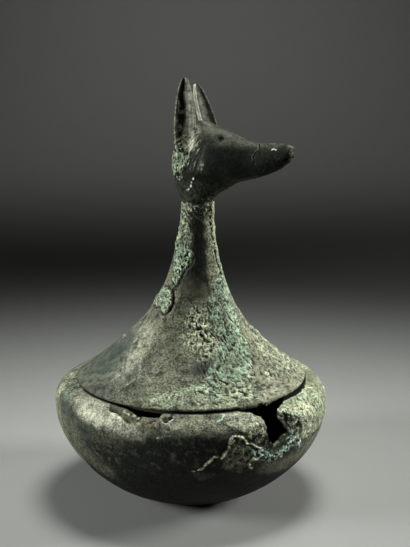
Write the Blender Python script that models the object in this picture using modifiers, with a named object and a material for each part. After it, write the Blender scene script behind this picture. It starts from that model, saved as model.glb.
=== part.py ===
"""A squat bronze vase with a trumpet-shaped lid that ends in a jackal's head, as it came out of the ground.

Three castings: the bowl, with its shoulder broken in two places, the hollow lid that rests on the
shoulder, and the head, which closes the top of the lid's neck. Lengths are in millimetres until they
reach a mesh. The origin is on the bowl's axis, on the surface it stands on; -Y is the front, and the
jackal looks towards +X and a little to the front.
"""

import math

import bmesh
import bpy
from mathutils import Matrix, Vector, noise
from mathutils.geometry import interpolate_bezier

MM = 0.001
HAIRLINE = 0.3  # left open where one piece rests on another

# The bowl
BELLY_RADIUS = 60.0
BELLY_HEIGHT = 42.5
FOOT_RADIUS = 18.0
MOUTH_RADIUS = 45.0
MOUTH_HEIGHT = 53.6
BOWL_WALL = 1.7

# The lid
RIM_RADIUS = 50.7
RIM_HEIGHT = 53.2
RIM_EDGE = 0.8
LID_WALL = 1.5
NECK_RADIUS = 7.0
NECK_TOP = RIM_HEIGHT + 78.0
NECK_LEAN = 0.04  # sideways, for each millimetre above the rim
NECK_PLUG = 12.0  # solid metal under the head
FLANGE_RADIUS = 43.9
FLANGE_WALL = 1.3
FLANGE_DEPTH = 3.8

# The head
HEAD_TURN = 30.0  # degrees from +X towards the front
EAR_WALL = 1.3

BOWL_STEPS = 64
LID_STEPS = 52
HEAD_STEPS = 24


def at_angle(angle, radius, height):
    """A point by its angle from the front, positive towards +X, its distance from the axis and height."""
    turn = math.radians(angle)
    return Vector((radius * math.sin(turn), -radius * math.cos(turn), height))


def curve_through(start, handle, other_handle, end, count):
    """Points of one Bezier arc in the (radius, height) plane."""
    corners = [Vector((r, 0.0, z)) for r, z in (start, handle, other_handle, end)]
    return [(p.x, p.z) for p in interpolate_bezier(*corners, count)]


def inset(profile, distance):
    """The profile moved in by a wall's thickness, for a profile that runs down its outer side."""
    moved = []
    for i, (r, z) in enumerate(profile):
        before, after = profile[max(i - 1, 0)], profile[min(i + 1, len(profile) - 1)]
        along = Vector((after[0] - before[0], after[1] - before[1])).normalized()
        moved.append((max(r + along.y * distance, 0.0), z - along.x * distance))
    return moved


# ---------------------------------------------------------------------------------------- surfaces


def bowl_outside():
    """From the lip of the mouth, over the shoulder and the belly, to the edge of the flat foot."""
    shoulder = curve_through(
        (MOUTH_RADIUS, MOUTH_HEIGHT), (54.5, 52.9), (BELLY_RADIUS, 50.5), (BELLY_RADIUS, BELLY_HEIGHT), 8
    )
    belly = curve_through(
        (BELLY_RADIUS, BELLY_HEIGHT), (BELLY_RADIUS, 18.6), (31.0, 0.0), (FOOT_RADIUS, 0.0), 10
    )
    return shoulder + belly[1:]


def lid_outside():
    """From the top of the neck, down its flare, to the edge of the rim."""
    return curve_through(
        (NECK_RADIUS, NECK_TOP),
        (NECK_RADIUS + 3.5, RIM_HEIGHT + 33.3),
        (20.4, RIM_HEIGHT + 23.3),
        (RIM_RADIUS, RIM_HEIGHT + RIM_EDGE),
        18,
    )


def bowl_profile():
    outside = bowl_outside()
    inside = inset(outside[::2], BOWL_WALL)
    lip = (MOUTH_RADIUS - 0.5, MOUTH_HEIGHT - BOWL_WALL / 2)
    return [(0.0, BOWL_WALL)] + inside[::-1] + [lip] + outside + [(0.0, 0.0)]


def lid_profile():
    """The neck's solid end, down the outside to the rim, and up the hollow side past the flange."""
    outside = lid_outside()
    inside = inset(outside, LID_WALL)
    hollow = [(r, z) for r, z in inside if RIM_HEIGHT < z < NECK_TOP - NECK_PLUG]
    rim = [(RIM_RADIUS, RIM_HEIGHT), (RIM_RADIUS - LID_WALL, RIM_HEIGHT)]
    inner = FLANGE_RADIUS - FLANGE_WALL
    foot = RIM_HEIGHT - FLANGE_DEPTH
    flange = [(FLANGE_RADIUS, height_at(inside, FLANGE_RADIUS)), (FLANGE_RADIUS, foot)]
    flange += [(inner, foot), (inner, height_at(inside, inner))]
    under_rim = [(r, z) for r, z in hollow if r > FLANGE_RADIUS + 0.5]
    cone = [(r, z) for r, z in hollow if r < inner - 0.5]
    top_radius, top = cone[0]
    vault = [(top_radius * 0.6, top + 2.2), (0.0, top + 3.2)]
    return [(0.0, NECK_TOP)] + outside + rim + under_rim[::-1] + flange + cone[::-1] + vault


def height_at(profile, radius):
    """The height of a falling profile where it has this radius."""
    for (r, z), (next_r, next_z) in zip(profile, profile[1:]):
        if r <= radius <= next_r:
            return z + (next_z - z) * (radius - r) / (next_r - r)
    raise ValueError("the profile doesn't reach that radius")


def turned(name, profile, steps):
    """The profile turned about Z, as a mesh object."""
    mesh = bpy.data.meshes.new(name + "_profile")
    mesh.from_pydata(
        [(r * MM, 0.0, z * MM) for r, z in profile], [(i, i + 1) for i in range(len(profile) - 1)], []
    )
    outline = bpy.data.objects.new(name + "_profile", mesh)
    bpy.context.scene.collection.objects.link(outline)
    screw = outline.modifiers.new("turn", "SCREW")
    screw.steps = screw.render_steps = steps
    screw.use_merge_vertices = True
    screw.merge_threshold = 1e-5
    return as_mesh(outline, name)


def as_mesh(made, name):
    """The object's evaluated shape as a plain mesh object of this name; the object itself is removed."""
    bpy.context.view_layer.update()
    graph = bpy.context.evaluated_depsgraph_get()
    mesh = bpy.data.meshes.new_from_object(made.evaluated_get(graph))
    obj = bpy.data.objects.new(name, mesh)
    obj.matrix_world = made.matrix_world
    bm = bmesh.new()
    bm.from_mesh(mesh)
    bmesh.ops.remove_doubles(bm, verts=bm.verts, dist=1e-6)
    bm.to_mesh(mesh)
    bm.free()
    bpy.data.objects.remove(made)
    return obj


# ---------------------------------------------------------------------------------- wear and crust

# Thick crust on the lid: angle, height, half-width, half-height and thickness
LID_CRUST = (
    (-47.0, 89.0, 5.5, 5.5, 1.5),
    (-50.0, 102.0, 3.5, 10.0, 0.7),
    (-50.0, 122.0, 3.5, 9.0, 0.4),
    (62.0, 89.0, 7.0, 12.0, 0.8),
    (62.0, 116.0, 3.5, 14.0, 0.5),
    (10.0, 80.0, 8.0, 9.0, 0.4),
)
SAG_ANGLE = 12.0  # where the shoulder has sunk away from the lid's rim
SAG = 0.6


def swell(point, angle, height, half_width, half_height):
    """1 inside an oval patch on the surface round the axis, falling to 0 at its edge."""
    radius = math.hypot(point.x, point.y)
    turn = math.degrees(math.atan2(point.x, -point.y)) - angle
    turn = (turn + 180.0) % 360.0 - 180.0
    across = math.radians(turn) * radius / half_width
    up = (point.z - height) / half_height
    return max(0.0, 1.0 - across * across - up * up) ** 0.5


def hammered(point):
    """The slow unevenness of a wall made by hand, in millimetres outwards."""
    return 0.9 * noise.noise(point / 38.0 + Vector((3.1, 0.0, 7.7)))


def outwards(point):
    flat = Vector((point.x, point.y, 0.0))
    return flat.normalized() if flat.length > 1e-6 else flat


def worn_bowl(point):
    """A point of the turned bowl where the hand, the ground and its own weight have put it."""
    rise = min(1.0, point.z / 20.0)
    moved = point + outwards(point) * hammered(point) * rise
    turn = math.degrees(math.atan2(point.x, -point.y)) - SAG_ANGLE
    inner = min(1.0, max(0.0, (point.z - 47.0) / 5.0))
    moved.z -= SAG * inner * math.exp(-((turn / 34.0) ** 2))
    return moved


def worn_lid(point):
    """A point of the turned lid, with its crust, its unevenness and its leaning neck."""
    above_rim = max(0.0, point.z - RIM_HEIGHT)
    # The rim and the neck's end stay round, where they meet the other pieces.
    free = min(1.0, (NECK_TOP - point.z) / 30.0) * min(1.0, above_rim / 6.0)
    moved = point + outwards(point) * hammered(point) * 0.7 * free
    if is_outside_lid(point):
        for angle, height, half_width, half_height, thick in LID_CRUST:
            moved += outwards(point) * thick * swell(point, angle, height, half_width, half_height)
    moved.x += NECK_LEAN * above_rim
    return moved


def is_outside_lid(point):
    """Whether a vertex of the turned lid is on its outer side."""
    radius = math.hypot(point.x, point.y)
    return min(math.hypot(radius - r, point.z - z) for r, z in lid_outside()) < 0.2


def displaced(obj, move):
    """Each vertex of the object put where move says."""
    for vertex in obj.data.vertices:
        vertex.co = move(vertex.co / MM) * MM
    return obj


# ------------------------------------------------------------------------------------- the breaks

# Bites out of the mouth: angle from the front and how far out the metal is gone
LEFT_BITE = (
    (-41, 50.0), (-32, 52.0), (-26, 53.0), (-22, 55.0), (-17, 54.8), (-13, 54.0), (-12, 51.6), (-8, 50.2),
)
RIGHT_BITE = (
    (22, 50.2), (27, 53.4), (30, 56.2), (34, 57.2), (39, 57.0), (41, 55.0), (45, 53.8), (52, 50.2),
)

# The hole below the right bite: along the belly and up, from its middle
HOLE_ANGLE = 35.0
HOLE_HEIGHT = 45.0
HOLE = (
    (-4.0, 8.5), (-4.0, 2.0), (-3.6, -1.2), (-2.6, -4.6), (0.2, -7.2), (2.9, -5.8), (4.8, -3.6),
    (7.6, -2.9), (5.9, -0.2), (5.4, 2.0), (3.6, 3.8), (3.4, 6.0), (5.4, 8.5),
)


def bite_cutter(name, bite):
    """An upright prism over the bitten part of the mouth's edge."""
    hidden = MOUTH_RADIUS - 6.0
    outline = [at_angle(a, r, 0.0) for a, r in bite]
    outline += [at_angle(a, hidden, 0.0) for a, r in reversed(bite)]
    return prism(name, outline, 5.0, Matrix.Translation((0.0, 0.0, (MOUTH_HEIGHT - 1.2) * MM)))


def hole_cutter(name):
    """A prism through the belly, square to it."""
    outline = [Vector((x, y, 0.0)) for x, y in HOLE]
    place = at_angle(HOLE_ANGLE, BELLY_RADIUS, HOLE_HEIGHT) * MM
    facing = Matrix.Rotation(math.radians(HOLE_ANGLE), 4, "Z") @ Matrix.Rotation(math.radians(90), 4, "X")
    return prism(name, outline, 8.0, Matrix.Translation(place) @ facing)


def prism(name, outline, half_depth, place):
    """A flat outline made thick both ways, as a closed mesh."""
    curve = bpy.data.curves.new(name, "CURVE")
    curve.dimensions = "2D"
    curve.fill_mode = "BOTH"
    curve.extrude = half_depth * MM
    spline = curve.splines.new("POLY")
    spline.points.add(len(outline) - 1)
    for spot, point in zip(spline.points, outline):
        spot.co = (point.x * MM, point.y * MM, 0.0, 1.0)
    spline.use_cyclic_u = True
    drawn = bpy.data.objects.new(name, curve)
    bpy.context.scene.collection.objects.link(drawn)
    drawn.matrix_world = place
    return as_mesh(drawn, name)


def worked(obj, tool, operation, collection):
    """Joins the tool's shape to the object, or takes it away. The tool is placed in the object's frame."""
    collection.objects.link(tool)
    tool.matrix_world = obj.matrix_world @ tool.matrix_world
    tool.hide_render = True
    tool.display_type = "WIRE"
    boolean = obj.modifiers.new(tool.name, "BOOLEAN")
    boolean.operation = operation
    boolean.object = tool


# ---------------------------------------------------------------------------------------- the head

# Where the head's rings pass, from neck to nose: throat (forward, up), crown (forward, up), half-width
HEAD_STATIONS = (
    (7.2, 0.0, -7.4, 0.0, 7.3),
    (8.9, 2.4, -9.8, 8.0, 9.2),
    (11.4, 4.3, -11.0, 17.0, 10.6),
    (14.4, 6.1, -7.6, 28.0, 10.8),
    (17.4, 7.6, 0.8, 34.2, 10.4),
    (20.6, 9.1, 9.5, 32.1, 9.4),
    (25.5, 10.5, 20.5, 28.2, 7.3),
    (31.0, 12.0, 28.5, 26.0, 5.5),
    (39.0, 15.5, 39.0, 26.5, 4.2),
    (43.4, 18.6, 44.4, 25.7, 3.0),
    (44.9, 20.4, 45.3, 23.6, 1.6),
)
RINGS_BETWEEN = 2

# Ears: the middle of the hollow's mouth at its foot and at the tip (forward, to the left, up), half the
# mouth's width, and which way it faces, in degrees to the left
NEAR_EAR = ((0.0, -10.0, 22.2), (-2.0, -5.0, 52.6), 4.2, -46.0)
FAR_EAR = ((3.6, 8.0, 26.0), (-3.6, 5.0, 49.6), 5.2, -5.0)
EAR_HOLLOW = 0.7  # its depth, as a share of half its width

EYE = (14.4, 7.4, 27.9)  # forward, to either side, up
EYE_RADIUS = 2.0
MOUTH_CORNER = (34.0, 17.2)  # forward, up
LIPS = (43.5, 20.9)
MOUTH_GAPE = 0.7


def between(before, start, end, after, t):
    """A smooth curve through four values, at a share t of the way from the second to the third."""
    slope, next_slope = (end - before) / 2, (after - start) / 2
    cubic = 2 * (start - end) + slope + next_slope
    square = 3 * (end - start) - 2 * slope - next_slope
    return ((cubic * t + square) * t + slope) * t + start


def head_rings():
    """The stations, with rings put between them so that the head's lines are smooth."""
    rings = []
    last = len(HEAD_STATIONS) - 1
    for i in range(last):
        four = [HEAD_STATIONS[min(max(j, 0), last)] for j in range(i - 1, i + 3)]
        for k in range(RINGS_BETWEEN):
            rings.append([between(*values, k / RINGS_BETWEEN) for values in zip(*four)])
    return rings + [HEAD_STATIONS[last]]


def head_body():
    """The head without its ears: rings joined from the neck to the nose, and closed at both ends."""
    bm = bmesh.new()
    rings = []
    for throat_x, throat_z, crown_x, crown_z, half_width in head_rings():
        low, high = Vector((throat_x, 0.0, throat_z)), Vector((crown_x, 0.0, crown_z))
        middle, reach = (low + high) / 2, (high - low) / 2
        ring = []
        for step in range(HEAD_STEPS):
            turn = 2 * math.pi * step / HEAD_STEPS
            side = half_width * math.sin(turn) * (1 - 0.1 * math.cos(turn))
            ring.append(bm.verts.new((middle + reach * math.cos(turn) + Vector((0.0, side, 0.0))) * MM))
        rings.append(ring)
    for ring, after in zip(rings, rings[1:]):
        for i in range(HEAD_STEPS):
            j = (i + 1) % HEAD_STEPS
            bm.faces.new((ring[i], ring[j], after[j], after[i]))
    bm.faces.new(rings[0][::-1])
    bm.faces.new(rings[-1])
    return from_bmesh(bm, "jackal_head")


def from_bmesh(bm, name):
    bmesh.ops.recalc_face_normals(bm, faces=bm.faces)
    mesh = bpy.data.meshes.new(name)
    bm.to_mesh(mesh)
    bm.free()
    return bpy.data.objects.new(name, mesh)


def ear(name, root, tip, half_width, opening):
    """A cupped leaf from root to tip, made thick, whose hollow faces the way it opens."""
    root, tip = Vector(root), Vector(tip)
    up = (tip - root).normalized()
    facing = Vector((math.cos(math.radians(opening)), math.sin(math.radians(opening)), 0.0))
    facing = (facing - up * facing.dot(up)).normalized()
    across = up.cross(facing)
    bm = bmesh.new()
    rows, columns = 10, 8
    grid = []
    for i in range(rows + 1):
        share = 0.01 + 0.98 * i / rows
        swelling = share**0.6
        width = half_width * (4 * swelling * (1 - swelling)) ** 0.5
        row = []
        for j in range(columns + 1):
            s = 2 * j / columns - 1
            spot = root.lerp(tip, share) + across * width * s + facing * EAR_HOLLOW * width * (s * s - 1)
            row.append(bm.verts.new(spot * MM))
        grid.append(row)
    for low, high in zip(grid, grid[1:]):
        for j in range(columns):
            bm.faces.new((low[j], low[j + 1], high[j + 1], high[j]))
    leaf = from_bmesh(bm, name)
    shell = leaf.modifiers.new("thickness", "SOLIDIFY")
    shell.thickness = EAR_WALL * MM
    shell.offset = 0.0
    shell.use_even_offset = False
    return leaf


def eye_socket(name, side):
    """A ball that takes a shallow round socket out of one side of the head."""
    bm = bmesh.new()
    bmesh.ops.create_uvsphere(bm, u_segments=14, v_segments=8, radius=EYE_RADIUS * MM)
    ball = from_bmesh(bm, name)
    for vertex in ball.data.vertices:
        vertex.co += Vector((EYE[0], side * EYE[1], EYE[2])) * MM
    return ball


def mouth_groove(name):
    """A thin band round the front of the muzzle, which rises from the corners of the mouth to the lips."""
    reach = LIPS[0] - MOUTH_CORNER[0]
    side = [(0.0, 7.0), (reach + 4.0, 7.0)]
    lip = [(reach - 0.8, 1.6), (reach - 4.0, 3.3), (1.0, 4.4)]
    half = lip[::-1] + side
    outline = [Vector((x, y, 0.0)) for x, y in half] + [Vector((x, -y, 0.0)) for x, y in reversed(half)]
    rise = math.atan2(LIPS[1] - MOUTH_CORNER[1], reach)
    place = Matrix.Translation(Vector((MOUTH_CORNER[0], 0.0, MOUTH_CORNER[1])) * MM)
    return prism(name, outline, MOUTH_GAPE / 2, place @ Matrix.Rotation(-rise, 4, "Y"))


# ------------------------------------------------------------------------------- building the vase


def bronze(name, colour, roughness, metallic):
    material = bpy.data.materials.new(name)
    material.use_nodes = True
    shader = material.node_tree.nodes["Principled BSDF"]
    shader.inputs["Base Color"].default_value = (*colour, 1.0)
    shader.inputs["Roughness"].default_value = roughness
    shader.inputs["Metallic"].default_value = metallic
    return material


def finished(obj, collection, material):
    collection.objects.link(obj)
    obj.data.materials.clear()
    obj.data.materials.append(material)
    obj.data.shade_smooth()
    obj.data.set_sharp_from_angle(angle=math.radians(40))
    return obj


def main():
    for obj in list(bpy.data.objects):
        bpy.data.objects.remove(obj)
    vase = bpy.data.collections.new("lidded_bronze_vase")
    cutters = bpy.data.collections.new("cutters")
    for collection in (vase, cutters):
        bpy.context.scene.collection.children.link(collection)

    bowl = displaced(turned("bowl", bowl_profile(), BOWL_STEPS), worn_bowl)
    finished(bowl, vase, bronze("pale_patina", (0.24, 0.25, 0.20), 0.75, 0.2))
    for cutter in (
        bite_cutter("left_bite", LEFT_BITE),
        bite_cutter("right_bite", RIGHT_BITE),
        hole_cutter("belly_hole"),
    ):
        worked(bowl, cutter, "DIFFERENCE", cutters)

    lid = displaced(turned("lid", lid_profile(), LID_STEPS), worn_lid)
    finished(lid, vase, bronze("green_patina", (0.20, 0.23, 0.18), 0.8, 0.15))

    head = head_body()
    finished(head, vase, bronze("dark_bronze", (0.05, 0.052, 0.045), 0.5, 0.6))
    lean = NECK_LEAN * (NECK_TOP - RIM_HEIGHT)
    place = Matrix.Translation(Vector((lean, 0.0, NECK_TOP + HAIRLINE)) * MM)
    head.matrix_world = place @ Matrix.Rotation(math.radians(-HEAD_TURN), 4, "Z")
    for leaf in (ear("near_ear", *NEAR_EAR), ear("far_ear", *FAR_EAR)):
        worked(head, leaf, "UNION", cutters)
    for cutter in (eye_socket("near_eye", -1), eye_socket("far_eye", 1), mouth_groove("mouth")):
        worked(head, cutter, "DIFFERENCE", cutters)


main()
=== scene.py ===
"""The looks of a squat bronze vase whose trumpet-shaped lid ends in a jackal's head, as it came out of the ground.

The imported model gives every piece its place. Three dressed pieces stand for its three castings: the
bowl, with its broken shoulder, the lid and the head. Lengths are in millimetres until they reach a mesh.
An angle is measured round the bowl's axis from the front, -Y, and is positive towards +X. Masks, from 0 to 1,
say where each colour lies, and the materials read them.
"""

import itertools
import math

import bmesh
import bpy
import numpy as np
from mathutils import Matrix, Vector, kdtree, noise


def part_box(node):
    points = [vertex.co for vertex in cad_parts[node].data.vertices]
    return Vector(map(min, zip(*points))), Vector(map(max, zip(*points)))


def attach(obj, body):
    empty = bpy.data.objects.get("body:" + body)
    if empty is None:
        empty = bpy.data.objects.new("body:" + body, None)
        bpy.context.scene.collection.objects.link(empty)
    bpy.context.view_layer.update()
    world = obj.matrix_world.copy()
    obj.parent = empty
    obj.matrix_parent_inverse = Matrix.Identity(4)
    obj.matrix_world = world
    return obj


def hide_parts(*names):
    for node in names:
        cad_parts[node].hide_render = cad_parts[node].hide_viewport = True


bl_info = {
    "name": "Excavated Bronze Vase",
    "version": (1, 0, 0),
    "blender": (4, 5, 0),
    "location": "View3D > Sidebar > Bronze Vase",
    "description": "Builds a crusted bronze vase with a jackal-headed lid around its packed model",
    "category": "Add Mesh",
}

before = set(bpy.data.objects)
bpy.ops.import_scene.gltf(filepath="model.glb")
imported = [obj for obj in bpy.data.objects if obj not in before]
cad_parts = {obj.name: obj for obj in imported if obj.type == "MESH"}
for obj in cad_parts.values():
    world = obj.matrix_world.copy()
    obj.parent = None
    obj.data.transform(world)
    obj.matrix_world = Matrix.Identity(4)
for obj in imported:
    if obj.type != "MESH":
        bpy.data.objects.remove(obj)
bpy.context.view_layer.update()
MM = 0.001
BOWL_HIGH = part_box("bowl")[1] / MM
LID_LOW, LID_HIGH = (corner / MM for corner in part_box("lid"))
HEAD_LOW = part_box("jackal_head")[0] / MM


# ------------------------------ sizes and colours


def size(name, description, value, **kind):
    """A number to set, which is a length unless its kind says otherwise."""
    kind = kind or {"unit": "LENGTH"}
    return bpy.props.FloatProperty(name=name, description=description, default=value, **kind)


def colour(name, description, value):
    return bpy.props.FloatVectorProperty(
        name=name, description=description, default=value, subtype="COLOR", size=3, min=0.0, max=1.0
    )


class BowlSizes(bpy.types.PropertyGroup):
    """The bowl's own sizes"""

    belly_radius: size("Belly radius", "Radius of the bowl at its widest", 0.060)
    belly_height: size("Belly height", "Height of the widest place", 0.0425)
    mouth_radius: size("Mouth radius", "Radius of the mouth, under the lid", 0.045)
    foot_radius: size("Foot radius", "Radius of the flat spot it stands on", 0.018)
    wall: size("Wall", "Thickness of the bowl's wall", 0.0017)
    relief: size("Relief", "Strength of the bowl's crust and pits", 1.0, subtype="FACTOR")


class LidSizes(bpy.types.PropertyGroup):
    """The lid's own sizes"""

    neck_radius: size("Neck radius", "Radius under the head", 0.007)
    rim_edge: size("Rim edge", "Height of the rim's outer edge", 0.0008)
    wall: size("Wall", "Thickness of the lid's wall", 0.0015)
    flange_radius: size("Flange radius", "Radius of the ring inside the mouth", 0.0439)
    flange_depth: size("Flange depth", "How far it hangs below the rim", 0.0038)
    relief: size("Relief", "Strength of the lid's crust and pits", 1.0, subtype="FACTOR")


class HeadSizes(bpy.types.PropertyGroup):
    """The head's own sizes"""

    turn: size("Turn", "How far the muzzle turns from the side to the front", math.radians(30), subtype="ANGLE")
    grain: size("Grain", "Size of the head's smallest faces", 0.00033)
    relief: size("Relief", "Strength of the head's modelling", 1.0, subtype="FACTOR")


class PatinaColours(bpy.types.PropertyGroup):
    """The colours of the metal and of what has grown on it"""

    # metal: also the painted shade low on the bowl's front
    metal: colour("Metal", "Dark bare bronze", (0.0065, 0.0075, 0.0050))
    # grey: also the painted top light on the head
    grey: colour("Grey", "Thin grey-green film", (0.165, 0.172, 0.124))
    beige: colour("Beige", "Smooth olive earth", (0.235, 0.235, 0.165))
    brown: colour("Brown", "Brown earth and cuprite", (0.098, 0.097, 0.060))
    rust: colour("Rust", "Reddish cuprite", (0.180, 0.120, 0.078))
    blue: colour("Blue", "Smooth blue-grey skin", (0.050, 0.062, 0.052))
    # pale also lays the painted highlight on the bowl's left shoulder, the painted sheen on the lid's left flank and
    # the painted light in the ears' hollows
    pale: colour("Pale", "Thin pale film with a sheen", (0.500, 0.495, 0.390))
    green: colour("Green", "Pale green crust", (0.320, 0.385, 0.260))
    cream: colour("Cream", "Cream earth crust", (0.520, 0.545, 0.375))
    mint: colour("Mint", "Pale mint crust", (0.400, 0.560, 0.400))
    verdigris: colour("Verdigris", "Turquoise corrosion", (0.200, 0.390, 0.300))
    # white: also the painted glints on the bowl's chip and on the head
    white: colour("White", "White mineral grains", (0.800, 0.840, 0.740))
    dark: colour("Dark", "Pits, cracks and shadowed corners", (0.0045, 0.0050, 0.0032))


class StageSizes(bpy.types.PropertyGroup):
    """The floor, the camera and the lamps"""

    lens: size("Lens", "Focal length", 70.0, unit="CAMERA")
    distance: size("Distance", "From the bowl's axis to the camera", 0.45649)
    height: size("Height", "Height of the camera", 0.20024)
    aside: size("Aside", "How far the camera stands to the right", 0.00624)
    tilt: size("Tilt", "How far it looks down", math.radians(12.516), subtype="ANGLE")
    floor: colour("Floor", "The pale floor", (0.26, 0.258, 0.25))


# ------------------------------ number patterns


def unit(value):
    """The value, kept between 0 and 1."""
    return np.clip(value, 0.0, 1.0)


def smooth(low, high, value):
    """0 where the value is below low, 1 above high, and a smooth step between."""
    share = unit((value - low) / (high - low))
    return share * share * (3.0 - 2.0 * share)


DICE = np.random.default_rng(41)
SHUFFLE = DICE.permutation(256)
SLOPES = DICE.normal(size=(256, 3))
SLOPES /= np.linalg.norm(SLOPES, axis=1)[:, None]
SPOTS = DICE.random((256, 3))


def lattice(spots):
    """The cell that each spot is in, and where it is inside that cell."""
    cell = np.floor(spots).astype(int)
    return cell, spots - cell


def key_of(cell):
    """A number from 0 to 255 for each cell of a lattice."""
    first = SHUFFLE[cell[:, 0] & 255]
    second = SHUFFLE[(first + cell[:, 1]) & 255]
    return SHUFFLE[(second + cell[:, 2]) & 255]


def ripple(points, size, seed=0.0):
    """Smooth noise from about -1 to 1, with lumps about this many millimetres apart."""
    cell, part = lattice(points / size + 13.7 * seed + 100.0)
    ease = part**3 * (part * (part * 6.0 - 15.0) + 10.0)
    total = np.zeros(len(points))
    for corner in itertools.product((0, 1), repeat=3):
        weight = np.where(corner, ease, 1.0 - ease).prod(axis=1)
        total += weight * ((part - corner) * SLOPES[key_of(cell + corner)]).sum(1)
    return total * 1.7


def rough(points, size, octaves=3, seed=0.0, keep=0.55):
    """Several sizes of ripple on top of each other."""
    weights = [keep**octave for octave in range(octaves)]
    return sum(w * ripple(points, size / 2**k, seed + k) for k, w in enumerate(weights)) / sum(weights)


def grains(points, size, seed=0.0):
    """Distance from the nearest of many scattered spots, as a share of their spacing, and that spot's own number."""
    cell, part = lattice(points / size + 7.9 * seed + 100.0)
    nearest, number = np.full(len(points), 9.0), np.zeros(len(points))
    for corner in itertools.product((-1, 0, 1), repeat=3):
        key = key_of(cell + corner)
        gap = np.linalg.norm(SPOTS[key] + corner - part, axis=1)
        closer = gap < nearest
        nearest[closer], number[closer] = gap[closer], key[closer] / 255.0
    return nearest, number


def ridges(skin, length, width, slope, seed):
    """Crisp broken folds that run to the right and down at this slope, in degrees: 1 on a crest, about -1 between."""
    across, along, turn = np.radians(skin.angle) * skin.radius, skin.run, math.radians(slope)
    first = across * math.cos(turn) + along * math.sin(turn)
    second = along * math.cos(turn) - across * math.sin(turn) + 1.2 * skin.worn[:, 0]
    spots = np.stack([first / length, second / width, skin.worn[:, 1] * 0.4], axis=1)
    return 1.0 - 3.4 * np.abs(ripple(spots, 1.0, seed))


def bark(skin, slope, seed):
    """Wrinkles of two sizes that run to the right and down at about this slope."""
    return 0.6 * ridges(skin, 4.5, 1.45, slope, seed) + 0.4 * ridges(skin, 2.4, 1.1, slope + 18.0, seed + 1)


# ------------------------------ meshes


def linked(name, data):
    """A new object in the scene."""
    thing = bpy.data.objects.new(name, data)
    bpy.context.scene.collection.objects.link(thing)
    return thing


def meshed(name, corners, faces):
    """A new mesh object, whose corners are in metres."""
    mesh = bpy.data.meshes.new(name)
    mesh.from_pydata(corners, [], faces)
    return linked(name, mesh)


def tube_faces(rings, steps):
    """The faces of a closed tube of rings of points, and of its two ends."""
    starts, turns = range(0, (rings - 1) * steps, steps), range(steps)
    after = [(i + 1) % steps for i in turns]
    sides = [(k + i, k + j, k + steps + j, k + steps + i) for k in starts for i, j in zip(turns, after)]
    return sides + [tuple(turns)[::-1], tuple(range((rings - 1) * steps, rings * steps))]


def outward_again(obj):
    """Turns the object's faces outwards."""
    bm = bmesh.new()
    bm.from_mesh(obj.data)
    bmesh.ops.recalc_face_normals(bm, faces=bm.faces)
    bm.to_mesh(obj.data)
    bm.free()


def settled(piece):
    """Applies the piece's modifiers."""
    graph = bpy.context.evaluated_depsgraph_get()
    done = bpy.data.meshes.new_from_object(piece.evaluated_get(graph))
    old, piece.data = piece.data, done
    piece.modifiers.clear()
    name = old.name
    bpy.data.meshes.remove(old)
    done.name = name
    return done


def rows_of(mesh, key):
    """A row of three numbers for each vertex: its place in metres, or its normal."""
    flat = np.zeros(len(mesh.vertices) * 3)
    mesh.vertices.foreach_get(key, flat)
    return flat.reshape(-1, 3)


def store(mesh, masks):
    """Keeps each mask on the mesh's vertices, for the material to read."""
    for name, values in masks.items():
        layer = mesh.attributes.get(name) or mesh.attributes.new(name, "FLOAT", "POINT")
        layer.data.foreach_set("value", np.asarray(values, np.float32))


def smoothed(piece, sharp=None):
    """Gives the piece smooth shading, but for edges sharper than this many degrees."""
    piece.data.shade_smooth()
    if sharp:
        piece.data.set_sharp_from_angle(angle=math.radians(sharp))
    return piece


# ------------------------------ turned walls


def spots(*numbers):
    """Places on a wall, as (angle, height) pairs, from the numbers one after another."""
    return tuple(zip(numbers[::2], numbers[1::2]))


def arc(start, handle, other_handle, end, count=120):
    """Points of one Bezier arc, as (radius, height) rows."""
    t = np.linspace(0.0, 1.0, count)[:, None]
    weights = ((1 - t) ** 3, 3 * (1 - t) ** 2 * t, 3 * (1 - t) * t**2, t**3)
    corners = (start, handle, other_handle, end)
    return sum(w * np.array(c, float) for w, c in zip(weights, corners))


def lengths_along(profile):
    steps = np.hypot(*np.diff(profile, axis=0).T)
    return np.concatenate([[0.0], np.cumsum(steps)])


def respaced(profile, count, closed=False):
    """The profile as evenly spaced rows."""
    run = lengths_along(profile)
    at = np.linspace(0.0, run[-1], count, endpoint=not closed)
    return np.stack([np.interp(at, run, profile[:, k]) for k in (0, 1)], axis=1)


def outward(profile):
    """The unit vector that points out of the wall at each row of a profile that runs down its outer side."""
    along = np.gradient(profile, axis=0)
    along /= np.linalg.norm(along, axis=1)[:, None]
    return np.stack([-along[:, 1], along[:, 0]], axis=1)


def inset(profile, distance):
    moved = profile - outward(profile) * distance
    moved[:, 0] = np.maximum(moved[:, 0], 0.0)
    return moved


def angles_round(front, behind):
    """Angles round the axis, closer together over the front half, where the crust is richest."""
    near = np.linspace(-90.0, 90.0, front, endpoint=False)
    far = np.linspace(90.0, 270.0, behind, endpoint=False)
    return np.concatenate([near, far])


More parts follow.
